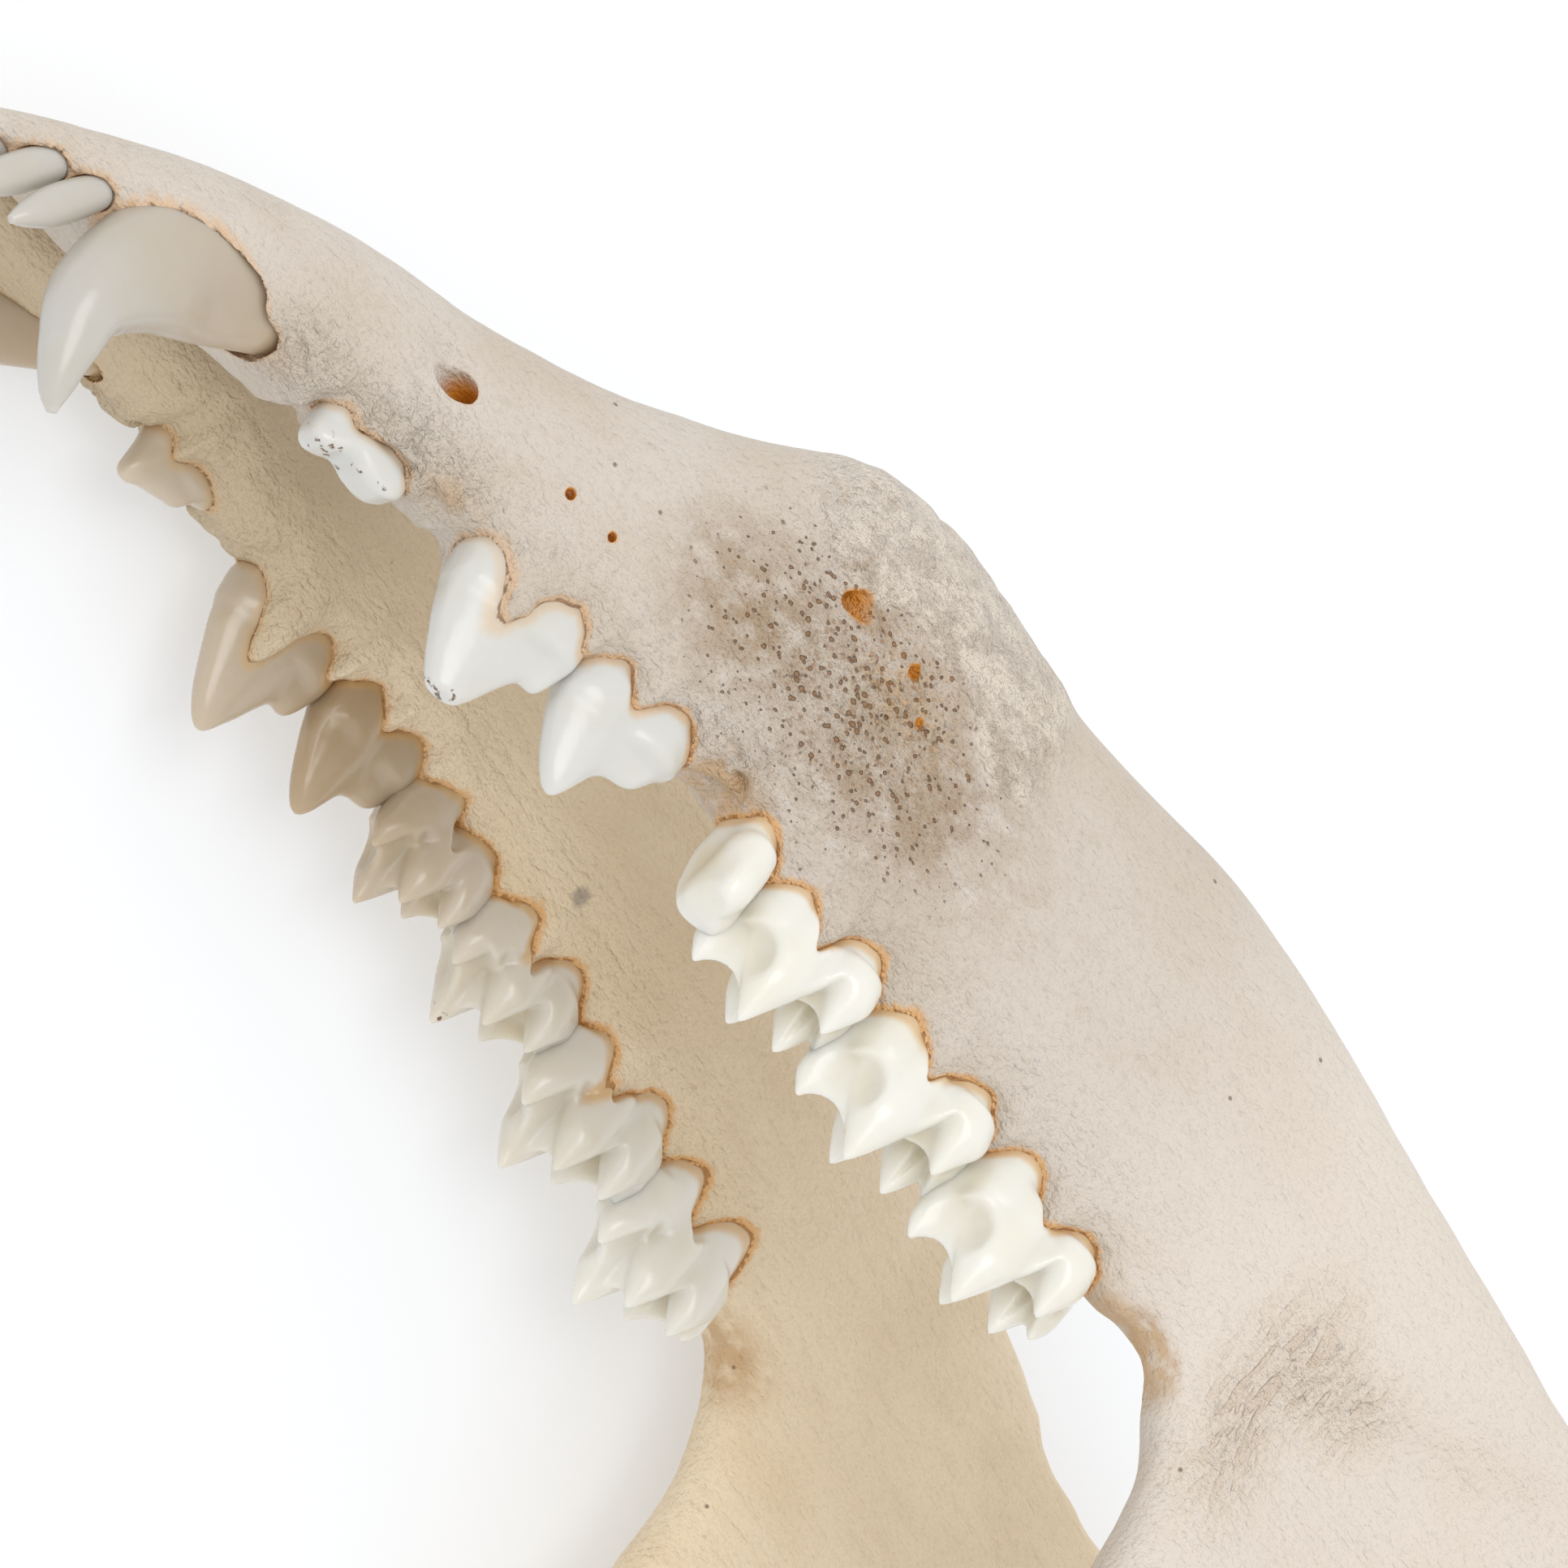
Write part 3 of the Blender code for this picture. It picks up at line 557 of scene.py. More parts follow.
def new_object(name, points, faces):
    mesh = bpy.data.meshes.new(name)
    mesh.from_pydata(points.tolist(), [], [tuple(face) for face in faces])
    obj = bpy.data.objects.new(name, mesh)
    bpy.context.scene.collection.objects.link(obj)
    return obj


def volume(points, faces):
    """Signed volume of a closed body, from fans over its faces."""
    total = 0.0
    corners = [points[[face[i] for face in faces]] for i in range(len(faces[0]))]
    for i in range(1, len(corners) - 1):
        total += np.einsum("ij,ij->i", corners[0], np.cross(corners[i], corners[i + 1])).sum()
    return total / 6


def loft(rings):
    """Points and faces of a closed body through rings of equal length."""
    count = len(rings[0])
    points = np.concatenate([np.concatenate(rings), [rings[0].mean(0), rings[-1].mean(0)]])
    sides = []
    for ring in range(len(rings) - 1):
        low = ring * count
        for i in range(count):
            j = (i + 1) % count
            sides.append((low + i, low + j, low + count + j, low + count + i))
    first = len(rings) * count
    last = (len(rings) - 1) * count
    caps = []
    for i in range(count):
        j = (i + 1) % count
        caps.append((j, i, first))
        caps.append((last + i, last + j, first + 1))
    if volume(points, sides) + volume(points, caps) < 0:
        sides = [face[::-1] for face in sides]
        caps = [face[::-1] for face in caps]
    return points, sides + caps


def gather(parts):
    """One set of points and faces from several."""
    points = []
    faces = []
    start = 0
    for some_points, some_faces in parts:
        points.append(some_points)
        faces += [tuple(v + start for v in face) for face in some_faces]
        start += len(some_points)
    return np.concatenate(points), faces


def settle(obj):
    """Applies an object's modifiers to its mesh."""
    bpy.context.view_layer.update()
    graph = bpy.context.evaluated_depsgraph_get()
    mesh = bpy.data.meshes.new_from_object(obj.evaluated_get(graph))
    old = obj.data
    obj.modifiers.clear()
    obj.data = mesh
    bpy.data.meshes.remove(old)


def soften(obj, rounds):
    """Adds rounds of smoothing to an object's modifiers and applies them all."""
    calm = obj.modifiers.new("Calm", "SMOOTH")
    calm.factor = 0.5
    calm.iterations = rounds
    settle(obj)


def points_of(obj):
    points = np.empty(len(obj.data.vertices) * 3, np.float32)
    obj.data.vertices.foreach_get("co", points)
    return points.reshape(-1, 3).astype(float)


def normals_of(obj):
    normals = np.empty(len(obj.data.vertices) * 3, np.float32)
    obj.data.vertex_normals.foreach_get("vector", normals)
    return normals.reshape(-1, 3).astype(float)


def set_points(obj, points):
    obj.data.vertices.foreach_set("co", np.ascontiguousarray(points, np.float32).ravel())
    obj.data.update()


def swelling_size(x):
    reach = np.where(x > SWELLING_AT, SWELLING_AHEAD, SWELLING_BEHIND)
    return np.exp(-(((x - SWELLING_AT) / reach) ** 2))


def body_rings(swollen, stations=130, around=80):
    """Upright sections of the tooth-bearing body, flat where the two bones meet."""
    places = np.linspace(BODY[0][0], BODY[-1][0], stations)
    angles = np.linspace(0, 2 * math.pi, around, endpoint=False)
    power = 2 / BODY_SQUARE
    across = np.sign(np.cos(angles)) * np.abs(np.cos(angles)) ** power
    upward = np.sign(np.sin(angles)) * np.abs(np.sin(angles)) ** power
    rings = []
    for x, (top, bottom, middle, half) in zip(places, smooth_table(BODY, places)):
        y = middle + half * across
        z = (top + bottom) / 2 + (top - bottom) / 2 * upward
        if swollen:
            low = np.clip((0.7 - upward) / 1.5, 0, 1)
            y = y + SWELLING_OUT * swelling_size(x) * np.clip(across, 0, 1) * low
            z = z - SWELLING_DOWN * swelling_size(x) * low**2
        rings.append(np.stack([np.full_like(y, x), np.maximum(y, HALF_GAP), z], 1))
    return rings


def branch_rings(levels=90, across=60):
    """Level sections of the rising branch, hollowed on the outside for the chewing muscle."""
    heights = np.linspace(BRANCH[0][0], BRANCH[-1][0], levels)
    share = (1 - np.cos(np.linspace(0, math.pi, across))) / 2
    rings = []
    for z, (front, rear) in zip(heights, smooth_table(BRANCH, heights)):
        x = front + (rear - front) * share
        middle = BRANCH_MIDDLE - BRANCH_SPREAD * (x + 2) + BRANCH_FLARE * max(z, 0)
        length = front - rear
        half = table_at(BRANCH_HALF, share * length)
        half = np.maximum(half, EDGE_HALF * (share > 0.9))
        end = np.minimum(share, 1 - share) * length
        half = half * np.sqrt(np.clip(1 - (1 - np.clip(end / 1.4, 0, 1)) ** 2, 0, 1))
        bow = -0.9 * np.sin(math.pi * share) * math.exp(-(((z - 4) / 12) ** 2))
        outer = np.stack([x, middle + bow + half, np.full_like(x, z)], 1)
        inner = np.stack([x, middle + bow - half, np.full_like(x, z)], 1)
        rings.append(np.concatenate([outer, inner[-2:0:-1]]))
    return rings


def angle_rings(stations=60, around=48):
    """Upright sections of the shelf that turns inward at the rear lower corner."""
    places = np.linspace(ANGLE[0][0], ANGLE[-1][0], stations)
    angles = np.linspace(0, 2 * math.pi, around, endpoint=False)
    rings = []
    for x, (inner, outer, up, thick) in zip(places, smooth_table(ANGLE, places)):
        y = (inner + outer) / 2 + (outer - inner) / 2 * np.cos(angles)
        z = up + thick / 2 * np.sin(angles) + 0.25 * np.cos(angles)
        rings.append(np.stack([np.full_like(y, x), y, z], 1))
    return rings


def lump(centre, radii, around=48, along=30):
    """A rounded lump with its long rings about the sideways axis."""
    rings = []
    angles = np.linspace(0, 2 * math.pi, around, endpoint=False)
    for s in np.linspace(-0.97, 0.97, along):
        size = math.sqrt(1 - s * s)
        x = centre[0] + radii[0] * size * np.cos(angles)
        z = centre[2] + radii[2] * size * np.sin(angles)
        rings.append(np.stack([x, np.full_like(x, centre[1] + radii[1] * s), z], 1))
    return rings


def frame_along(axis):
    """Direction, sideways and upright vectors at each point of a curved axis."""
    along = np.gradient(axis, axis=0)
    along /= np.linalg.norm(along, axis=1)[:, None]
    side = np.cross(along, np.array((0.0, 1.0, 0.0)))
    side /= np.linalg.norm(side, axis=1)[:, None]
    return along, side, np.cross(along, side)


def horn(stations, around=64, between=90, extra=0.0):
    """Rings of a tapering curved body through stations of place and two radii."""
    rows = np.array(stations, float)
    steps = np.linspace(0, len(rows) - 1, between)
    rows = smooth_table([(float(i), *row) for i, row in enumerate(rows)], steps)
    _, side, out = frame_along(rows[:, :3])
    angles = np.linspace(0, 2 * math.pi, around, endpoint=False)
    rings = []
    for centre, s, o, deep, wide in zip(rows[:, :3], side, out, rows[:, 3] + extra, rows[:, 4] + extra):
        rings.append(centre + np.outer(np.cos(angles) * deep, s) + np.outer(np.sin(angles) * wide, o))
    return rings


def tooth_frame(name):
    """Front point, backward, outward and upward directions of a cheek tooth, length and width."""
    x, y, z, length, width, turn, pitch = CHEEK[name]
    turn = math.radians(turn)
    pitch = math.radians(pitch)
    back = np.array([-math.cos(turn) * math.cos(pitch), math.sin(turn) * math.cos(pitch), math.sin(pitch)])
    out = np.array([math.sin(turn), math.cos(turn), 0.0])
    up = np.cross(back, out)
    up *= math.copysign(1, up[2])
    return np.array([x, y, z]), back, out, up, length, width


def melt(a, b, soft):
    """Smooth union of two distance fields."""
    t = np.clip(0.5 + 0.5 * (b - a) / soft, 0, 1)
    return b + (a - b) * t - soft * t * (1 - t)


def keep_both(a, b, soft):
    """Smooth overlap of two distance fields."""
    return -melt(-a, -b, soft)


def pillar(u, v, middle, across, along_radius, across_radius):
    """Distance to an upright oval pillar, its radii changing with height."""
    x = u - middle
    y = v - across
    near = np.sqrt((x / along_radius) ** 2 + (y / across_radius) ** 2) + 1e-6
    pull = np.sqrt((x / along_radius**2) ** 2 + (y / across_radius**2) ** 2) + 1e-6
    return near * (near - 1) / pull


def roots_field(u, v, h, length, width, split, highest=1.6):
    """Two roots that lean a little apart and taper downward; split is where they part."""
    size = table_at(ROOT_SIZE, h)
    lean = 0.03 * length * np.clip(-h, 0, 4) / 4
    front = pillar(u, v, 0.5 * split * length - lean, 0.0, 0.49 * split * length * size, 0.43 * width * size)
    middle = 0.5 * (1 + split) * length + lean
    rear = pillar(u, v, middle, 0.0, 0.47 * (1 - split) * length * size, 0.42 * width * size)
    both = melt(front, rear, 0.25)
    return keep_both(both, h - highest, 0.5)


def neck_line(u, v, name, length, width, base):
    """Height of a crown's lower edge, notched where bone points up between the roots."""
    close = np.exp(-(((u - PARTING[name] * length) / 0.42) ** 2)) * ease(0.35, 0.85, np.abs(v) / (width / 2))
    return base + (NOTCH[name] - base) * close


def molar_top(u, v, h, length, width, cusps, basin):
    """Distance below the chewing surface: cusps, the sharp crests that join them and the basin."""
    soft = 0.2
    top = h - (basin + 0.7 * ease(0.6 * length, 0.4 * length, u))
    for first, second, sag in CRESTS:
        a = cusps[first]
        b = cusps[second]
        ax, ay = a[0] * length, a[1] * width / 2
        bx, by = b[0] * length, b[1] * width / 2
        dx, dy = bx - ax, by - ay
        t = np.clip(((u - ax) * dx + (v - ay) * dy) / (dx * dx + dy * dy), 0, 1)
        away = np.hypot(u - ax - t * dx, v - ay - t * dy)
        line = a[2] + (b[2] - a[2]) * t - 4 * sag * t * (1 - t) * min(a[2], b[2])
        crest = h - line + CUSP_SLOPE * (np.hypot(away, CUSP_ROUND) - CUSP_ROUND)
        top = melt(top, crest, soft)
    return top / math.hypot(1, CUSP_SLOPE) * 1.4


def molar_field(u, v, h, name, length, width, worn, start):
    """Distance field of a molar: a lobed crown under its cusps, on two roots; start is where it broke."""
    scale = MOLAR_SCALE[name] * (1 - worn)
    cusps = {key: (along, out, high * scale) for key, (along, out, high, _) in CUSPS.items()}
    half = width / 2
    belly = table_at(CROWN_BELLY, h)
    wall = None
    for along, out, _, radius in CUSPS.values():
        middle = (0.5 + (along - 0.5) * 0.86) * length
        across = out * half * 0.84
        size = radius * half * 1.06 * belly
        lobe = pillar(u, v, middle, across, size * 1.1, size)
        wall = lobe if wall is None else melt(wall, lobe, 1.1 if start else 0.45)
    basin = M1_TOP if start else 1.5
    crown = keep_both(wall, molar_top(u, v, h, length, width, cusps, basin), 0.14)
    hollow = np.sqrt((u - 0.13 * length) ** 2 + (v - 0.75 * half) ** 2 + ((h - 3.1) / 1.2) ** 2) - 0.85
    crown = crown if start else keep_both(crown, -hollow, 0.25)
    crown = keep_both(crown, neck_line(u, v, name, length, width, 0.35) - h, 0.4)
    whole = melt(crown, roots_field(u, v, h, length, width, PARTING[name]), 0.35)
    if start:
        broken = start * length - u + 0.10 * np.clip(h, -1, 4)
        broken = broken + 0.10 * np.sin(3.1 * v + 1.7 * h)
        whole = keep_both(whole, broken, 0.9)
        whole = keep_both(whole, h - M1_TOP - 0.10 * np.cos(2.4 * v), 1.3)
    return whole


def premolar_field(u, v, h, name, length, width, cut, profile):
    """Distance field of a premolar: a flat pointed blade with a heel, on two roots."""
    share = u / length
    edge = smooth_table(profile, np.clip(share.ravel(), profile[0][0], profile[-1][0]))[:, 0]
    edge = edge.reshape(share.shape)
    stump = profile is PROFILES["p1 worn"]
    spare = STUMP_SPARE if stump else 0.02
    thick = (0.6 if stump else 0.08) + 0.50 * np.sqrt(np.clip(edge - h, 0, 9) + 0.02)
    reach = 0.525 + spare / length
    plan = np.sqrt(np.clip(1 - ((share - 0.5) / reach) ** 2, 0.0, 1)) ** 0.7 * (width / 2 + spare)
    side = np.abs(v) - np.minimum(thick, plan)
    crown = keep_both(side, (h - edge) * 0.45, 0.15)
    crown = keep_both(crown, neck_line(u, v, name, length, width, 0.2) - h, 0.4)
    crown = keep_both(crown, np.maximum(-u, u - length) - spare, 0.25)
    crown = keep_both(crown, h - cut, 0.2)
    highest = 0.5 if name == "p1" else 1.6
    return melt(crown, roots_field(u, v, h, length, width, PARTING[name], highest), 0.4)


FIELDS = {}


def cheek_field(name, side):
    """A cheek tooth's distance field on a fine grid in its own frame: values, low corner."""
    if (name, side) not in FIELDS:
        FIELDS[name, side] = make_field(name, side)
    return FIELDS[name, side]


def make_field(name, side):
    _, _, _, _, length, width = tooth_frame(name)
    low = np.array((-0.9, -width / 2 - 0.7, -ROOT_DEPTH - 0.6))
    high = np.array((length + 0.9, width / 2 + 0.7, 6.4))
    axes = [np.arange(a, b, TOOTH_STEP) for a, b in zip(low, high)]
    u, v, h = np.meshgrid(*axes, indexing="ij")
    right = side == "right"
    if name in MOLARS:
        worn = M2_WORN if name == "m2" and not right else 0.0
        start = M1_BROKEN_TO if name == "m1" and right else 0.0
        values = molar_field(u, v, h, name, length, width, worn, start)
    else:
        cut = P2_CUT if name == "p2" and right else 9.0
        profile = PROFILES["p1 worn" if name == "p1" and right else name]
        values = premolar_field(u, v, h, name, length, width, cut, profile)
    return np.maximum(values, -ROOT_DEPTH - h), low


def surface(values, low, step=TOOTH_STEP):
    """Points and faces where a distance field is 0, in the tooth's frame."""
    grid = openvdb.FloatGrid(9.0)
    grid.copyFromArray(np.ascontiguousarray(values, np.float32))
    points, quads = grid.convertToQuads(0.0)
    points = np.asarray(points, float) * step + low
    faces = np.asarray(quads, int)
    if volume(points, faces) < 0:
        faces = faces[:, ::-1]
    return points, [tuple(face) for face in faces.tolist()]


def out_of_tooth(name, points):
    """Tooth frame to jaw frame."""
    front, back, out, up, _, _ = tooth_frame(name)
    return front + points @ np.array((back, out, up))


def into_tooth(name, points):
    """Jaw frame to tooth frame."""
    front, back, out, up, _, _ = tooth_frame(name)
    return (points - front) @ np.array((back, out, up)).T


def field_at(values, low, places):
    """A field's value at places in the tooth's frame, and 9 outside its grid."""
    index = np.rint((places - low) / TOOTH_STEP).astype(int)
    inside = ((index >= 0) & (index < np.array(values.shape))).all(1)
    found = np.full(len(places), 9.0)
    kept = index[inside]
    found[inside] = values[kept[:, 0], kept[:, 1], kept[:, 2]]
    return found


def rim_drop(x, out):
    """How far below the top of the tooth line's bone its outer face lies this far out."""
    top, bottom, middle, half = smooth_table(BODY, np.clip(x, BODY[-1][0], BODY[0][0])).T
    share = np.clip((out - middle) / half, 0, 0.9)
    return SUNK + (top - bottom) / 2 * (1 - (1 - share**BODY_SQUARE) ** (1 / BODY_SQUARE))


def margin_wave(x):
    """How far the bone's top is lifted or dropped along the jaw so that its rim is the margin."""
    at, out, up = np.array(MARGIN).T
    height = np.zeros(len(x))
    for shift in (-1.0, -0.5, 0.0, 0.5, 1.0):
        height += np.interp(x + shift * MARGIN_ROUNDING, at, up) / 5
    drop = rim_drop(x, np.interp(x, at, out))
    return (height - body_top(x) + drop) / np.exp(-((drop / MARGIN_REACH) ** 2))


def body_top(x):
    """Height of the tooth line's bone along the jaw."""
    return smooth_table(BODY, np.clip(x, BODY[-1][0], BODY[0][0]))[:, 0]


def ball(points, centre, radii):
    """1 at a centre, falling to 0 at these radii."""
    away = np.linalg.norm((points - np.array(centre)) / np.array(radii), axis=1)
    return ease(1.0, 0.0, away)


def patches(points, table):
    """The sum of soft patches."""
    total = np.zeros(len(points))
    for strength, centre, radii in table:
        total += strength * ball(points, centre, radii)
    return total


def masks(points, normals, side):
    """How much each kind of surface shows at each point of a bone, from 0 to 1."""
    x, _, z = points.T
    outer = ease(-0.1, 0.5, normals[:, 1])
    swollen = side == "right"
    crust = ease(0.25, -0.35, z - table_at(CRUST_LINE, x) + 0.5 * rough(points, 1.6, 51))
    crust = crust * ease(12.5, 14.5, x) * ease(27.5, 25.0, x) * outer * swollen
    crack = ease(0.07, 0.01, np.abs(rough(points, 0.9, 18))) * ease(-0.3, 0.3, rough(points, 1.8, 61))
    stain = 0.8 * ball(points, *STAINED)
    for centre, radii in STAINS:
        stain = np.maximum(stain, np.sqrt(ball(points, centre, radii)))
    margin = ease(-3.6, -0.6, z - body_top(x)) * ease(46, 38, x) * ease(-2, 4, x)
    rim = patches(points, RIM_BEHIND) * ease(0.85, 0.4, normals[:, 1])
    rim += patches(points, RIM_AT_CANINE)
    rim += patches(points, RIM_RIGHT) * swollen
    crumbly = patches(points, CRUMBLY_BOTH)
    crumbly += patches(points, CRUMBLY_RIGHT) * swollen + 0.25 * margin
    spot = ease(SPOT_FADED, SPOT_RADIUS, np.linalg.norm(points[:, ::2] - SPOT_AT, axis=1))
    return {
        "lump": ball(points, *LUMPY) * outer * swollen,
        "pores": ball(points, *POROUS) * outer * swollen * (1 - 0.75 * crust),
        "stain": stain * outer * swollen,
        "sponge": ball(points, *SPONGY) * outer * swollen,
        "margin": margin,
        "rim": np.clip(rim, 0, 1),
        "crumbly": np.clip(crumbly, 0, 1),
        "crust": crust,
        "scar": np.clip(patches(points, SCARRED) * outer, 0, 1),
        "crack": crust * crack,
        "front": ease(25, 36, x) * (side == "left"),
        # Painted light: the rear of the right bone's outer face is made lighter, as if more light fell
        # there.
        "pale": ease(8, -6, x) * outer * swollen,
        "spot": spot * (normals[:, 1] < 0) * (not swollen),
    }


def weather(points, normals, side):
    """Moves a bone's surface: growth, pores, muscle scars and the uneven tooth margin."""
    mask = masks(points, normals, side)
    seed = 3 if side == "right" else 11
    push = 0.10 * rough(points, (9, 6, 6), seed) + 0.05 * rough(points, (5, 2.5, 2.5), seed + 1)
    push += 0.045 * rough(points, (3.0, 1.0, 1.0), seed + 2)
    growth = 0.26 * rough(points, 3.0, seed + 3) + 0.16 * np.abs(rough(points, 1.5, seed + 4)) - 0.06
    push += mask["lump"] * (growth + 0.08 * rough(points, 0.7, seed + 8))
    grit = 0.06 * rough(points, 1.1, seed + 14)
    push += mask["crust"] * (0.22 + grit + 0.06 * rough(points, 0.55, seed + 15))
    push -= mask["crack"] * 0.08
    push -= 0.35 * ball(points, *SWELLING_HOLLOW) * (side == "right")
    push -= 0.40 * ball(points, *NERVE_HOLLOW)
    gnawed = np.sqrt(ball(points, *GNAWED)) * (side == "right")
    push += gnawed * 0.8 * (np.abs(rough(points, (1.0, 0.9, 0.7), seed + 18)) - 0.35)
    pit = ease(0.24, 0.08, to_pore(points * (0.7, 1.0, 1.0), 0.52, seed + 5))
    push -= mask["pores"] * 0.11 * pit * ease(-0.5, 0.3, rough(points, 2.2, seed + 9))
    strands = 1 - np.abs(rough(points, 0.75, seed + 10))
    push += mask["sponge"] * 0.36 * (strands**3 - 0.5)
    push += mask["margin"] * (0.07 * rough(points, (0.6, 0.6, 1.8), seed + 6))
    push += mask["crumbly"] * 0.50 * (np.abs(rough(points, (0.9, 0.7, 0.5), seed + 16)) - 0.3)
    push += mask["crumbly"] * 0.05 * rough(points, 0.45, seed + 17)
    push += mask["rim"] * (0.16 * rough(points, (1.0, 0.7, 0.7), seed + 12) - 0.16)
    streak = np.abs(rough(points, (0.55, 0.55, 1.5), seed + 7))
    push -= mask["scar"] * 0.26 * ease(0.34, 0.0, streak) * ease(-0.5, 0.3, rough(points, 2.6, seed + 13))
    return points + normals * push[:, None]


def raise_margin(points, normals):
    """Lifts the bone between roots and drops it round them."""
    x, _, z = points.T
    below = body_top(x) - z
    near = np.exp(-((np.clip(below, 0, 99) / MARGIN_REACH) ** 2)) * ease(-6, -1, x) * ease(44.0, 41.0, x)
    ragged = 0.10 * rough(np.stack([x, np.sign(normals[:, 1]) * 9, z * 0], 1), 0.7, 31)
    wave = margin_wave(x)
    moved = points.copy()
    moved[:, 2] += (wave + ragged) * near
    bulge = np.clip(0.5 - wave, 0, 2) * 0.16 * np.exp(-(((below - 2.4) / 1.8) ** 2)) * ease(44.0, 41.0, x)
    moved[:, 1] += bulge * ease(-6, 0, x) * normals[:, 1]
    return moved


def refine(obj, wanted):
    """Halves the edges of the faces whose corners are all wanted."""
    shape = bmesh.new()
    shape.from_mesh(obj.data)
    edges = set()
    for face in shape.faces:
        if all(wanted[corner.index] for corner in face.verts):
            edges.update(face.edges)
    bmesh.ops.subdivide_edges(shape, edges=list(edges), cuts=1, use_grid_fill=True)
    many = [face for face in shape.faces if len(face.verts) > 4]
    bmesh.ops.triangulate(shape, faces=many)
    shape.to_mesh(obj.data)
    shape.free()


def openings_of(side):
    """Nerve openings of a bone, their direction inward of length 1."""
    for where, inward, high, wide, depth in OPENINGS_BOTH + (OPENINGS_RIGHT if side == "right" else ()):
        yield np.array(where), np.array(inward) / np.linalg.norm(inward), high, wide, depth


def by_openings(points, side, spare):
    """Points within some millimetres of the edge of a nerve opening."""
    near = np.zeros(len(points), bool)
    for where, _, high, wide, _ in openings_of(side):
        near |= np.linalg.norm(points - where, axis=1) < spare + 1.5 * max(high, wide)
    return near


def busy_parts(obj, side):
    """Points of a bone where fine relief shows: the tooth margin and the swelling."""
    points = points_of(obj)
    x, _, z = points.T
    top = body_top(x)
    margin = (x > -1.0) & (x < 46.0) & (z > top - 2.4)
    found = masks(points, normals_of(obj), side)
    pitted = np.maximum(found["pores"], found["sponge"]) > 0.12
    return margin | by_openings(points, side, 0.9) | pitted | (found["scar"] > 0.35)


def cut_away(obj, groups):
    """Cuts groups of closed bodies out of an object; the bodies of a group stand clear of each other."""
    for number, parts in enumerate(groups):
        cutter = new_object(f"cutter {number}", *gather(parts))
        cut = obj.modifiers.new("Cut", "BOOLEAN")
        cut.operation = "DIFFERENCE"
        cut.object = cutter
        cut.solver = "MANIFOLD"
        settle(obj)
        mesh = cutter.data
        bpy.data.objects.remove(cutter)
        bpy.data.meshes.remove(mesh)


def opening_part(where, inward, high, wide, depth):
    """A funnel-shaped cutter for a nerve opening."""
    stations = [(*(where + inward * depth * t), high * s, wide * s) for t, s in FUNNEL]
    return loft(horn(stations, around=40, between=30))


def incisor_stations(number, extra=0.0, shortest=-9.0):
    base, tip, radius = INCISORS[number]
    base = np.array(base)
    step = np.array(tip) - base
    return [
        (*(base + step * t), radius * s * INCISOR_DEEPER + extra, radius * s + extra)
        for t, s in INCISOR_SHAPE
        if t >= shortest
    ]


def jagged(points, seed):
    """Points shaken a little, so that a cut along them has a ragged edge."""
    shake = [rough(points, 0.55, seed + k) for k in range(3)]
    return points + 0.07 * np.stack(shake, 1)


def socket_groups(side):
    """Cutters for the tooth sockets, a little wider than the teeth, in groups that stand clear."""
    cheek = []
    for name in PREMOLARS + MOLARS:
        values, low = cheek_field(name, side)
        h = low[2] + TOOTH_STEP * np.arange(values.shape[2])
        opened = np.maximum(values - SOCKET_GAP, (-SOCKET_DEPTH - h)[None, None, :])
        points, faces = surface(opened[::2, ::2, ::2], low, 2 * TOOTH_STEP)
        cheek.append((out_of_tooth(name, jagged(points, 41)), faces))
    front = []
    for number in range(len(INCISORS)):
        points, faces = loft(horn(incisor_stations(number, SOCKET_GAP * 0.7, -0.35), around=32, between=30))
        front.append((points, faces))
    rows = np.array(CANINE_AXIS)
    start = rows[1] * 0.6 + rows[2] * 0.4
    stations = [tuple(start), *CANINE_AXIS[2:]]
    points, faces = loft(horn(stations, extra=SOCKET_GAP * 0.85))
    points = jagged(points, 43) + np.array(CANINE_LOOSE)
    return [cheek[0::2] + front[0::2], cheek[1::2] + front[1::2], [(points, faces)]]


def bone_mesh(name, side):
    """One jaw bone in the jaw frame, with its sockets and openings cut."""
    parts = [loft(body_rings(side == "right")), loft(branch_rings()), loft(angle_rings())]
    parts += [loft(lump(CONDYLE, CONDYLE_RADII)), loft(lump(NECK, NECK_RADII))]
    obj = new_object(name, *gather(parts))
    for voxel, rounds in ((BLEND_VOXEL, BLEND_ROUNDS), (FINE_VOXEL, FINE_ROUNDS)):
        blend = obj.modifiers.new("Blend", "REMESH")
        blend.mode = "VOXEL"
        blend.voxel_size = voxel
        soften(obj, rounds)
    refine(obj, busy_parts(obj, side))
    soften(obj, 1)
    refine(obj, by_openings(points_of(obj), side, 0.35))
    set_points(obj, raise_margin(points_of(obj), normals_of(obj)))
    set_points(obj, weather(points_of(obj), normals_of(obj), side))
    cut_away(obj, socket_groups(side))
    cut_away(obj, [[opening_part(*row) for row in openings_of(side)]])
    return obj


def off_horn(points, stations):
    """Distance from a tapering curved body, roughly, for points near it and 9 for the rest."""
    rows = np.array(stations, float)
    steps = np.linspace(0, len(rows) - 1, 60)
    rows = smooth_table([(float(i), *row) for i, row in enumerate(rows)], steps)
    along, side, out = frame_along(rows[:, :3])
    found = np.full(len(points), 9.0)
    close = np.linalg.norm(points - rows[:, :3].mean(0), axis=1) < 8
    near = points[close]
    best = np.full(len(near), 9.0)
    for centre, a, s, o, deep, wide in zip(rows[:, :3], along, side, out, rows[:, 3], rows[:, 4]):
        step = near - centre
        ring = np.hypot(step @ s / deep, step @ o / wide) - 1
        best = np.where(np.abs(step @ a) < 0.35, np.minimum(best, ring * min(deep, wide)), best)
    found[close] = best
    return found


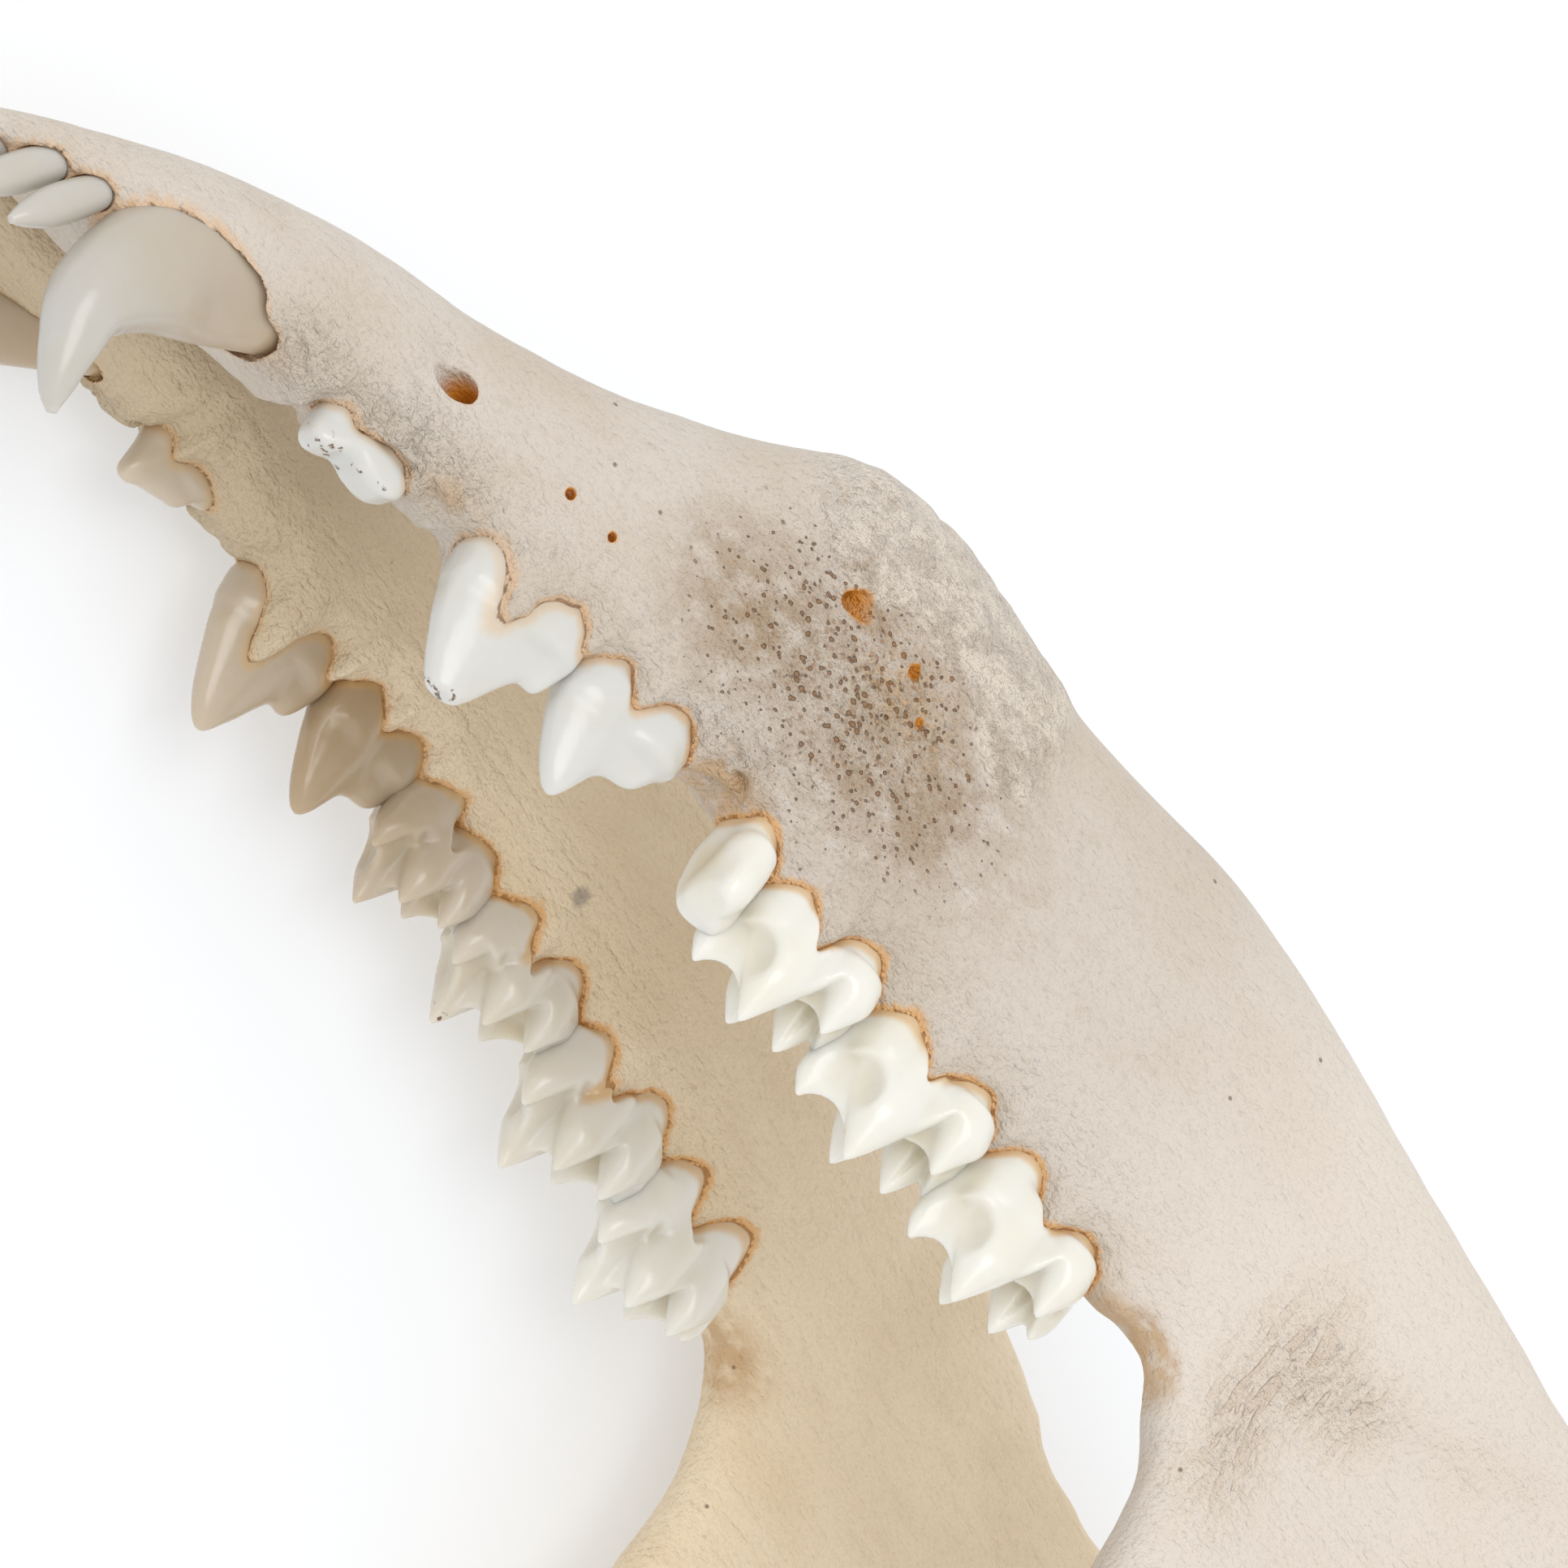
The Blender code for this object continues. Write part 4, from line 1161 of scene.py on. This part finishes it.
def write_mask(obj, name, values):
    attribute = obj.data.attributes.new(name, "FLOAT", "POINT")
    attribute.data.foreach_set("value", np.ascontiguousarray(values, np.float32))


def paint_bone(obj, side):
    """Writes the masks that the bone material reads."""
    points = points_of(obj)
    normals = normals_of(obj)
    found = masks(points, normals, side)
    amber = np.zeros(len(points))
    for name in PREMOLARS + MOLARS:
        values, low = cheek_field(name, side)
        away = field_at(values, low, into_tooth(name, points))
        amber = np.maximum(amber, ease(0.25, 0.13, away))
    upper = ease(-0.75, -0.6, normals[:, 2])
    for stations in [CANINE_AXIS] + [incisor_stations(number) for number in range(len(INCISORS))]:
        amber = np.maximum(amber, ease(0.22, 0.12, off_horn(points, stations)) * upper)
    amber = amber * table_at(GOLD_ALONG, points[:, 0])
    deep = np.zeros(len(points))
    for where, inward, high, wide, depth in openings_of(side):
        run = (points - where) @ inward
        away = np.linalg.norm(points - where - np.outer(run, inward), axis=1)
        wall = max(high, wide) * table_at(FUNNEL, run / depth)
        inside = ease(1.10, 0.96, away / wall) * ease(-0.35, 0.12, run / depth) * (run < depth * 1.1)
        deep = np.maximum(deep, inside)
    found["amber"] = amber
    found["deep"] = deep
    for name, values in found.items():
        write_mask(obj, name, values)


def lay_down(obj, side):
    """Mirrors a right-hand piece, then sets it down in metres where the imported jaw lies."""
    points = points_of(obj)
    if side == "right":
        points[:, 1] *= -1
        obj.data.flip_normals()
    set_points(obj, to_world(points))
    obj.data.polygons.foreach_set("use_smooth", np.ones(len(obj.data.polygons), bool))
    obj.data.update()


def place(obj, side, material):
    """Hands a finished piece to the frame."""
    obj.data.materials.clear()
    obj.data.materials.append(material)
    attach(obj, "root")
    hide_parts("dentary_" + side)


def add_node(tree, kind, settings=None, **links):
    """Adds a node with its settings; links names an input and what feeds it, a socket or a value."""
    node = tree.nodes.new(kind)
    for key, value in (settings or {}).items():
        setattr(node, key, value)
    for key, value in links.items():
        socket = node.inputs[int(key[1:])] if key[1:].isdigit() else node.inputs[key]
        if isinstance(value, bpy.types.NodeSocket):
            tree.links.new(value, socket)
        elif socket.type == "RGBA":
            socket.default_value = (*value, 1)
        else:
            socket.default_value = value
    return node


def new_material(name):
    made = bpy.data.materials.new(name)
    made.use_nodes = True
    tree = made.node_tree
    shader = tree.nodes["Principled BSDF"]
    shader.subsurface_method = "RANDOM_WALK"
    return made, tree, shader


def read_masks(tree, names):
    """The masks painted on a piece, by name."""
    nodes = {name: add_node(tree, "ShaderNodeAttribute", {"attribute_name": name}) for name in names}
    return {name: node.outputs["Fac"] for name, node in nodes.items()}


def share(tree, *parts):
    """A product of masks, numbers and patterns; each pattern comes with the values it runs between."""
    product = None
    for part in parts:
        if isinstance(part, tuple):
            pattern, low, high = part
            part = add_node(tree, "ShaderNodeMapRange", SMOOTH, i0=pattern, i1=low, i2=high).outputs[0]
        if product is None:
            product = part
        else:
            product = add_node(tree, "ShaderNodeMath", TIMES, i0=product, i1=part).outputs[0]
    return product


def coat(tree, shown, colour, *parts):
    """Lays a colour over what shows, as thickly as its share says."""
    amount = share(tree, *parts)
    return add_node(tree, "ShaderNodeMix", COLOURS, i0=amount, i6=shown, i7=colour).outputs[2]


def grain(tree, here, per_mm, detail=3.0, roughness=0.5):
    """Noise with so many bumps a millimetre along each axis."""
    spread = add_node(tree, "ShaderNodeMapping", Vector=here, Scale=per_mm).outputs[0]
    shape = {"Detail": detail, "Roughness": roughness}
    return add_node(tree, "ShaderNodeTexNoise", Vector=spread, Scale=1 / MM, **shape).outputs["Fac"]


def pits(tree, here, cell_mm, reach, soft=0.08, rare=0.0):
    """How dark scattered pits are: reach is a pit's radius as a share of its cell; rare empties cells."""
    cell = tuple(1 / MM / size for size in cell_mm)
    spread = add_node(tree, "ShaderNodeMapping", Vector=here, Scale=cell).outputs[0]
    cells = add_node(tree, "ShaderNodeTexVoronoi", {"feature": "F1"}, Vector=spread, Scale=1.0)
    inside = add_node(tree, "ShaderNodeMath", LESS, i0=reach, i1=cells.outputs["Distance"]).outputs[0]
    kept = add_node(tree, "ShaderNodeMath", ABOVE, i0=cells.outputs["Color"], i1=rare).outputs[0]
    return share(tree, (inside, -soft, soft), kept)


def tint(colour, shares):
    return tuple(min(1.0, c * k) for c, k in zip(colour, shares))


def bone_pits(tree, here, pores, mottle, fine):
    """Large pores, crowded together in patches and ragged at the edge, and those with small ones as well."""
    crowded = share(tree, pores, (mottle, 0.25, 0.6))
    reach = add_node(tree, "ShaderNodeMath", TIMES_PLUS, i0=crowded, i1=0.36, i2=-0.40).outputs[0]
    reach = add_node(tree, "ShaderNodeMath", TIMES_PLUS, i0=fine, i1=0.8, i2=reach).outputs[0]
    large = pits(tree, here, LARGE_PORES, reach)
    reach = add_node(tree, "ShaderNodeMath", TIMES_PLUS, i0=pores, i1=0.34, i2=0.02).outputs[0]
    small = share(tree, pits(tree, here, SMALL_PORES, reach), 0.55)
    both = add_node(tree, "ShaderNodeMath", LARGER, i0=large, i1=small).outputs[0]
    edge = (pores, 0.03, 0.4)
    return share(tree, large, edge), share(tree, both, edge)


def dry_bone(name, colour, settings):
    """Cleaned, air-dried cortical bone: matt and slightly chalky, with lengthwise fibres and pores."""
    made, tree, shader = new_material(name)
    here = add_node(tree, "ShaderNodeTexCoord").outputs["Object"]
    mask = read_masks(tree, BONE_MASKS)
    clouds, fibres, mottle, fine, streaks = (grain(tree, here, *row) for row in BONE_GRAINS)
    scar = share(tree, mask["scar"], (streaks, 0.48, 0.60))
    pores = add_node(tree, "ShaderNodeMath", LARGER, i0=mask["pores"], i1=share(tree, scar, 0.25)).outputs[0]
    holes, dots = bone_pits(tree, here, pores, mottle, fine)
    specks = pits(tree, here, SPECK_CELLS, 0.045, 0.015, 0.66)
    shown = tint(colour, (1.04, 1.04, 1.05))
    for laid, *parts in (
        (tint(colour, (0.96, 0.93, 0.88)), (clouds, 0.35, 0.7)),
        (tint(colour, (0.88, 0.82, 0.74)), (fibres, 0.5, 0.75), 0.30),
        (tint(colour, (0.84, 0.78, 0.70)), (fine, 0.52, 0.72), 0.22),
        (tint(colour, (0.70, 0.67, 0.62)), mask["front"]),
        # Painted light on the rear of the right bone's outer face.
        (tint(colour, (1.28, 1.29, 1.31)), mask["pale"], 0.68),
        (linear("#8E8378"), mask["spot"], 0.7),
        (tuple(settings.stain_colour), mask["stain"], (mottle, 0.20, 0.62)),
        (linear("#C8A678"), mask["scar"], 0.20),
        (linear("#B48C5C"), scar, 0.30),
        (linear("#B9925F"), mask["rim"], (mottle, 0.2, 0.6), 0.75),
        (tint(colour, (1.22, 1.21, 1.17)), mask["crust"], (mottle, 0.65, 0.35), 0.95),
        (linear("#A1845F"), mask["crack"], 0.42),
        (linear("#C29A62"), mask["sponge"], (fine, 0.40, 0.62), 0.55),
        (linear("#8C5C26"), dots, 0.80),
        (linear("#5E4630"), specks, 0.75),
        (tuple(settings.socket_colour), mask["amber"], 0.80),
        (linear("#C4832F"), mask["deep"]),
    ):
        shown = coat(tree, shown, laid, *parts)
    tree.links.new(shown, shader.inputs["Base Color"])
    # Painted glow: the socket margins and nerve openings glow faintly amber, standing in for light that
    # passes through thin bone.
    shader.inputs["Emission Color"].default_value = (*linear("#C47812"), 1)
    deep = share(tree, mask["deep"], 0.08)
    glow = add_node(tree, "ShaderNodeMath", TIMES_PLUS, i0=mask["amber"], i1=0.06, i2=deep).outputs[0]
    tree.links.new(glow, shader.inputs["Emission Strength"])
    broken = mask["scar"]
    for other in (mask["crumbly"], mask["crust"], mask["pores"]):
        broken = add_node(tree, "ShaderNodeMath", LARGER, i0=broken, i1=other).outputs[0]
    height = share(tree, fine, 0.55)
    for pattern, rise in ((fibres, 0.5), (share(tree, broken, fine), 0.95), (holes, -0.85), (scar, -0.45)):
        height = add_node(tree, "ShaderNodeMath", TIMES_PLUS, i0=pattern, i1=rise, i2=height).outputs[0]
    bump = add_node(tree, "ShaderNodeBump", Strength=1.0, Distance=0.26 * MM, Height=height)
    tree.links.new(bump.outputs[0], shader.inputs["Normal"])
    shader.inputs["Roughness"].default_value = settings.roughness
    shader.inputs["IOR"].default_value = 1.55
    # The glow is too faint to light anything else, so no rays are spent on looking for it.
    made.cycles.emission_sampling = "NONE"
    return made


def tooth_enamel(name, milky, settings):
    """Polished living enamel over dentine: glossy, milky at the edges and yellow at the neck."""
    made, tree, shader = new_material(name)
    here = add_node(tree, "ShaderNodeTexCoord").outputs["Object"]
    mask = read_masks(tree, TOOTH_MASKS)
    clouds, flecks, ripple = (grain(tree, here, *row) for row in ENAMEL_GRAINS)
    shown = coat(tree, milky, tint(milky, (0.98, 0.97, 0.93)), (clouds, 0.4, 0.7))
    for laid, *parts in (
        # Smoky tone, and painted shade on the left teeth, which lie in the right bone's shade.
        (linear("#AB9474"), mask["smoke"]),
        # Valley floors: a yellow-grey tint, and painted shade in the basins and hollows.
        (linear("#D0C19C"), mask["valley"], 0.55),
        (tuple(settings.neck_colour), mask["neck"], 0.75),
        (linear("#6A4F38"), mask["worn"], (flecks, 0.60, 0.66)),
    ):
        shown = coat(tree, shown, laid, *parts)
    tree.links.new(shown, shader.inputs["Base Color"])
    bump = add_node(tree, "ShaderNodeBump", Strength=0.25, Distance=0.1 * MM, Height=ripple)
    tree.links.new(bump.outputs[0], shader.inputs["Normal"])
    shader.inputs["Roughness"].default_value = settings.gloss_roughness
    shader.inputs["IOR"].default_value = 1.62
    shader.inputs["Subsurface Weight"].default_value = 0.4
    shader.inputs["Subsurface Radius"].default_value = (1.0, 0.85, 0.65)
    shader.inputs["Subsurface Scale"].default_value = MM
    return made


def paint_teeth(obj, neck, smoke, valley=None, worn=None):
    """Writes the masks that the enamel reads: yellow neck, smoky tone and painted shade, valley floor with
    painted shade, and worn face.
    """
    nothing = np.zeros(len(neck))
    for name, values in (("neck", neck), ("smoke", smoke), ("valley", valley), ("worn", worn)):
        write_mask(obj, name, nothing if values is None else values)


def by_bone(points, side):
    """1 on a tooth where it meets its bone, falling to 0 a third of a millimetre away."""
    bone = bpy.data.objects.get("bone_" + side)
    if bone is None:
        return np.zeros(len(points))
    tree = kdtree.KDTree(len(bone.data.vertices))
    for index, vertex in enumerate(bone.data.vertices):
        tree.insert(vertex.co, index)
    tree.balance()
    mirrored = points * (1, -1 if side == "right" else 1, 1)
    away = [tree.find(place)[2] for place in to_world(mirrored)]
    return ease(0.40, 0.14, np.array(away) / MM) * table_at(GOLD_ALONG, points[:, 0])


def left_shade_at(points, side):
    """Painted shade on the left teeth, which lie in the right bone's shade: darker towards the front of the
    row.
    """
    if side == "right":
        return np.zeros(len(points))
    return table_at(LEFT_SHADE_ALONG, points[:, 0])


def cheek_teeth(names, side, label):
    """Several cheek teeth of one side as one piece."""
    parts = []
    valleys = []
    worn = []
    for name in names:
        values, low = cheek_field(name, side)
        points, faces = surface(values, low)
        seed = sum(ord(letter) for letter in name) + (5 if side == "right" else 0)
        u, v, h = points.T
        length, width = tooth_frame(name)[4:]
        # Painted shade, with a little yellow tint, in the basin between the cusps and in the hollow in
        # front.
        inside = ease(0.85, 0.3, np.abs(v) / (width / 2)) * ease(0.5, 0.42, np.abs(u / length - 0.5))
        inside = inside * ease(3.4, 1.4, h) * ease(0.6, 1.4, h)
        hollow = ball(points, (0.16 * length, 0.30 * width, 2.8), (1.0, 1.0, 1.3))
        valleys.append(np.maximum(inside, hollow) * (name in MOLARS))
        flat = WORN_FROM.get((name, side), 9.0)
        worn.append(ease(flat - 0.15, flat, h))
        centre = points.mean(0)
        away = points - centre
        away /= np.linalg.norm(away, axis=1)[:, None] + 1e-6
        wobble = 0.05 * rough(points, 1.6, seed) + 0.02 * rough(points, 0.7, seed + 1)
        points = points + away * wobble[:, None]
        parts.append((out_of_tooth(name, points), faces))
    obj = new_object(label, *gather(parts))
    soften(obj, 1)
    points = points_of(obj)
    neck = by_bone(points, side)
    paint_teeth(obj, neck, left_shade_at(points, side), np.concatenate(valleys), np.concatenate(worn))
    return obj


def canine(side):
    points, faces = loft(horn(CANINE_AXIS, CANINE_AROUND, CANINE_RINGS))
    obj = new_object("canine_" + side, points, faces)
    normals = normals_of(obj)
    tip = len(CANINE_AXIS) - 1
    steps = np.append(np.repeat(np.linspace(0, tip, CANINE_RINGS), CANINE_AROUND), (0, tip))
    push = 0.05 * rough(points, 2.2, 21) + 0.02 * rough(points, (0.8, 0.8, 2.5), 22)
    hollow = ball(points, *CANINE_HOLLOW)
    set_points(obj, points + normals * (push - 0.5 * hollow)[:, None])
    # Smoky tone towards the base, and painted shade on the left canine.
    smoke = 0.68 * ease(5.2, 1.5, steps) + 0.6 * left_shade_at(points, side)
    paint_teeth(obj, 0.5 * ease(1.9, 1.0, steps), smoke)
    return obj


def incisors(side):
    parts = []
    necks = []
    for number in range(len(INCISORS)):
        points, faces = loft(horn(incisor_stations(number), around=56, between=70))
        base = np.array(INCISORS[number][0])
        step = np.array(INCISORS[number][1]) - base
        necks.append(ease(0.3, -0.5, (points - base) @ step / np.linalg.norm(step)))
        parts.append((points, faces))
    obj = new_object("incisors_" + side, *gather(parts))
    neck = np.concatenate(necks)
    # A faint smoky tone, and painted shade on the left incisors.
    paint_teeth(obj, neck, np.full(len(neck), 0.08) + 0.45 * (side == "left"))
    return obj


def enamel_now(name):
    """Enamel of the molars, of the right premolars a little duller, or the dullest of the front teeth."""
    looks = bpy.context.scene.opossum_teeth
    colour = tuple(looks.front_colour if name == "Front enamel" else looks.enamel_colour)
    if name == "Premolar enamel":
        colour = tint(colour, (0.82, 0.83, 0.86))
    return bpy.data.materials.get(name) or tooth_enamel(name, colour, looks)


def bone(side):
    """One jaw bone with the masks that its material reads."""
    obj = bone_mesh("bone_" + side, side)
    paint_bone(obj, side)
    return obj


def bone_now(side):
    looks = bpy.context.scene.opossum_bone
    return dry_bone("Dry bone " + side, tuple(getattr(looks, side + "_colour")), looks)


def both_sides(build, look):
    """Builds a piece for each side, sets it down and hands it over in the material for that side."""
    for side in SIDES:
        obj = build(side)
        lay_down(obj, side)
        place(obj, side, look(side))
    return {"FINISHED"}


class OPOSSUM_OT_bones(bpy.types.Operator):
    """Build the two jaw bones with their sockets and nerve openings"""

    bl_idname = "opossum.bones"
    bl_label = "Jaw bones"

    def execute(self, context):
        return both_sides(bone, bone_now)


class OPOSSUM_OT_canines(bpy.types.Operator):
    """Build the two curved canines"""

    bl_idname = "opossum.canines"
    bl_label = "Canines"

    def execute(self, context):
        return both_sides(canine, lambda side: enamel_now("Front enamel"))


class OPOSSUM_OT_incisors(bpy.types.Operator):
    """Build the eight small front teeth"""

    bl_idname = "opossum.incisors"
    bl_label = "Incisors"

    def execute(self, context):
        return both_sides(incisors, lambda side: enamel_now("Front enamel"))


class OPOSSUM_OT_premolars(bpy.types.Operator):
    """Build the six pointed premolars"""

    bl_idname = "opossum.premolars"
    bl_label = "Premolars"

    def execute(self, context):
        looks = {"right": "Premolar enamel", "left": "Tooth enamel"}
        return both_sides(
            lambda side: cheek_teeth(PREMOLARS, side, "premolars_" + side),
            lambda side: enamel_now(looks[side]),
        )


class OPOSSUM_OT_molars(bpy.types.Operator):
    """Build the eight cusped molars"""

    bl_idname = "opossum.molars"
    bl_label = "Molars"

    def execute(self, context):
        return both_sides(
            lambda side: cheek_teeth(MOLARS, side, "molars_" + side),
            lambda side: enamel_now("Tooth enamel"),
        )


def aim(obj, where, towards, up):
    """Stands an object at a place, its -Z towards a direction."""
    back = -np.array(towards, float) / np.linalg.norm(towards)
    side = np.cross(up, back)
    side /= np.linalg.norm(side)
    turned = np.array((side, np.cross(back, side), back)).T
    matrix = Matrix.Identity(4)
    for row in range(3):
        for column in range(3):
            matrix[row][column] = turned[row][column]
        matrix[row][3] = where[row]
    obj.matrix_world = matrix


class OPOSSUM_OT_stage(bpy.types.Operator):
    """Build the pale floor, the soft lights and the camera"""

    bl_idname = "opossum.stage"
    bl_label = "Stage"

    def execute(self, context):
        looks = context.scene.opossum_stage
        for obj in list(bpy.data.objects):
            if obj.name in ("Cube", "Light", "Camera"):
                bpy.data.objects.remove(obj)
        half = looks.floor_size / 2
        corners = np.array(((-half, -half, 0), (half, -half, 0), (half, half, 0), (-half, half, 0)))
        floor = new_object("studio_floor", corners, [(0, 1, 2, 3)])
        paper, _, shader = new_material("Matt white paper")
        shader.inputs["Base Color"].default_value = (*looks.floor_colour, 1)
        shader.inputs["Roughness"].default_value = 0.9
        shader.inputs["Emission Color"].default_value = (1, 1, 1, 1)
        shader.inputs["Emission Strength"].default_value = looks.floor_glow
        floor.data.materials.append(paper)
        key_data = bpy.data.lights.new("Key softbox", "AREA")
        key_data.shape = "DISK"
        key_data.size = KEY_SIZE
        key_data.energy = looks.key_power
        key = bpy.data.objects.new("Key softbox", key_data)
        context.scene.collection.objects.link(key)
        direction = TURN @ np.array(KEY_FROM)
        aim(key, direction * KEY_AWAY, -direction, (0, 0, 1))
        world = bpy.data.worlds.new("White room")
        world.use_nodes = True
        sky = world.node_tree.nodes["Background"]
        sky.inputs["Color"].default_value = (1, 1, 1, 1)
        sky.inputs["Strength"].default_value = looks.sky
        context.scene.world = world
        context.scene.view_settings.view_transform = "Standard"
        lens = bpy.data.cameras.new("Camera")
        lens.lens = CAMERA_LENS
        lens.sensor_width = SENSOR
        lens.clip_start = 0.01
        lens.clip_end = 20.0
        camera = bpy.data.objects.new("Camera", lens)
        context.scene.collection.objects.link(camera)
        aim(camera, to_world(CAMERA_AT), TURN @ np.array(CAMERA_LOOK), TURN @ np.array(CAMERA_UP))
        context.scene.camera = camera
        return {"FINISHED"}


class OPOSSUM_PT_jaw(bpy.types.Panel):
    bl_label = "Opossum jaw"
    bl_idname = "OPOSSUM_PT_jaw"
    bl_space_type = "VIEW_3D"
    bl_region_type = "UI"
    bl_category = "Opossum jaw"

    def draw(self, context):
        layout = self.layout
        scene = context.scene
        for group in (scene.opossum_bone, scene.opossum_teeth, scene.opossum_stage):
            box = layout.box()
            for key in group.__annotations__:
                box.prop(group, key)
        for operator in OPERATORS:
            layout.operator(operator.bl_idname)


SETTINGS = (
    ("opossum_bone", BoneSettings),
    ("opossum_teeth", ToothSettings),
    ("opossum_stage", StageSettings),
)
OPERATORS = (
    OPOSSUM_OT_bones,
    OPOSSUM_OT_canines,
    OPOSSUM_OT_incisors,
    OPOSSUM_OT_premolars,
    OPOSSUM_OT_molars,
    OPOSSUM_OT_stage,
)


def register():
    for name, group in SETTINGS:
        bpy.utils.register_class(group)
        setattr(bpy.types.Scene, name, bpy.props.PointerProperty(type=group))
    for kind in (*OPERATORS, OPOSSUM_PT_jaw):
        bpy.utils.register_class(kind)


def unregister():
    for kind in (OPOSSUM_PT_jaw, *reversed(OPERATORS)):
        bpy.utils.unregister_class(kind)
    for name, group in reversed(SETTINGS):
        delattr(bpy.types.Scene, name)
        bpy.utils.unregister_class(group)


def main():
    register()
    bpy.ops.opossum.bones()
    bpy.ops.opossum.canines()
    bpy.ops.opossum.incisors()
    bpy.ops.opossum.premolars()
    bpy.ops.opossum.molars()
    bpy.ops.opossum.stage()


if __name__ == "__main__":
    main()
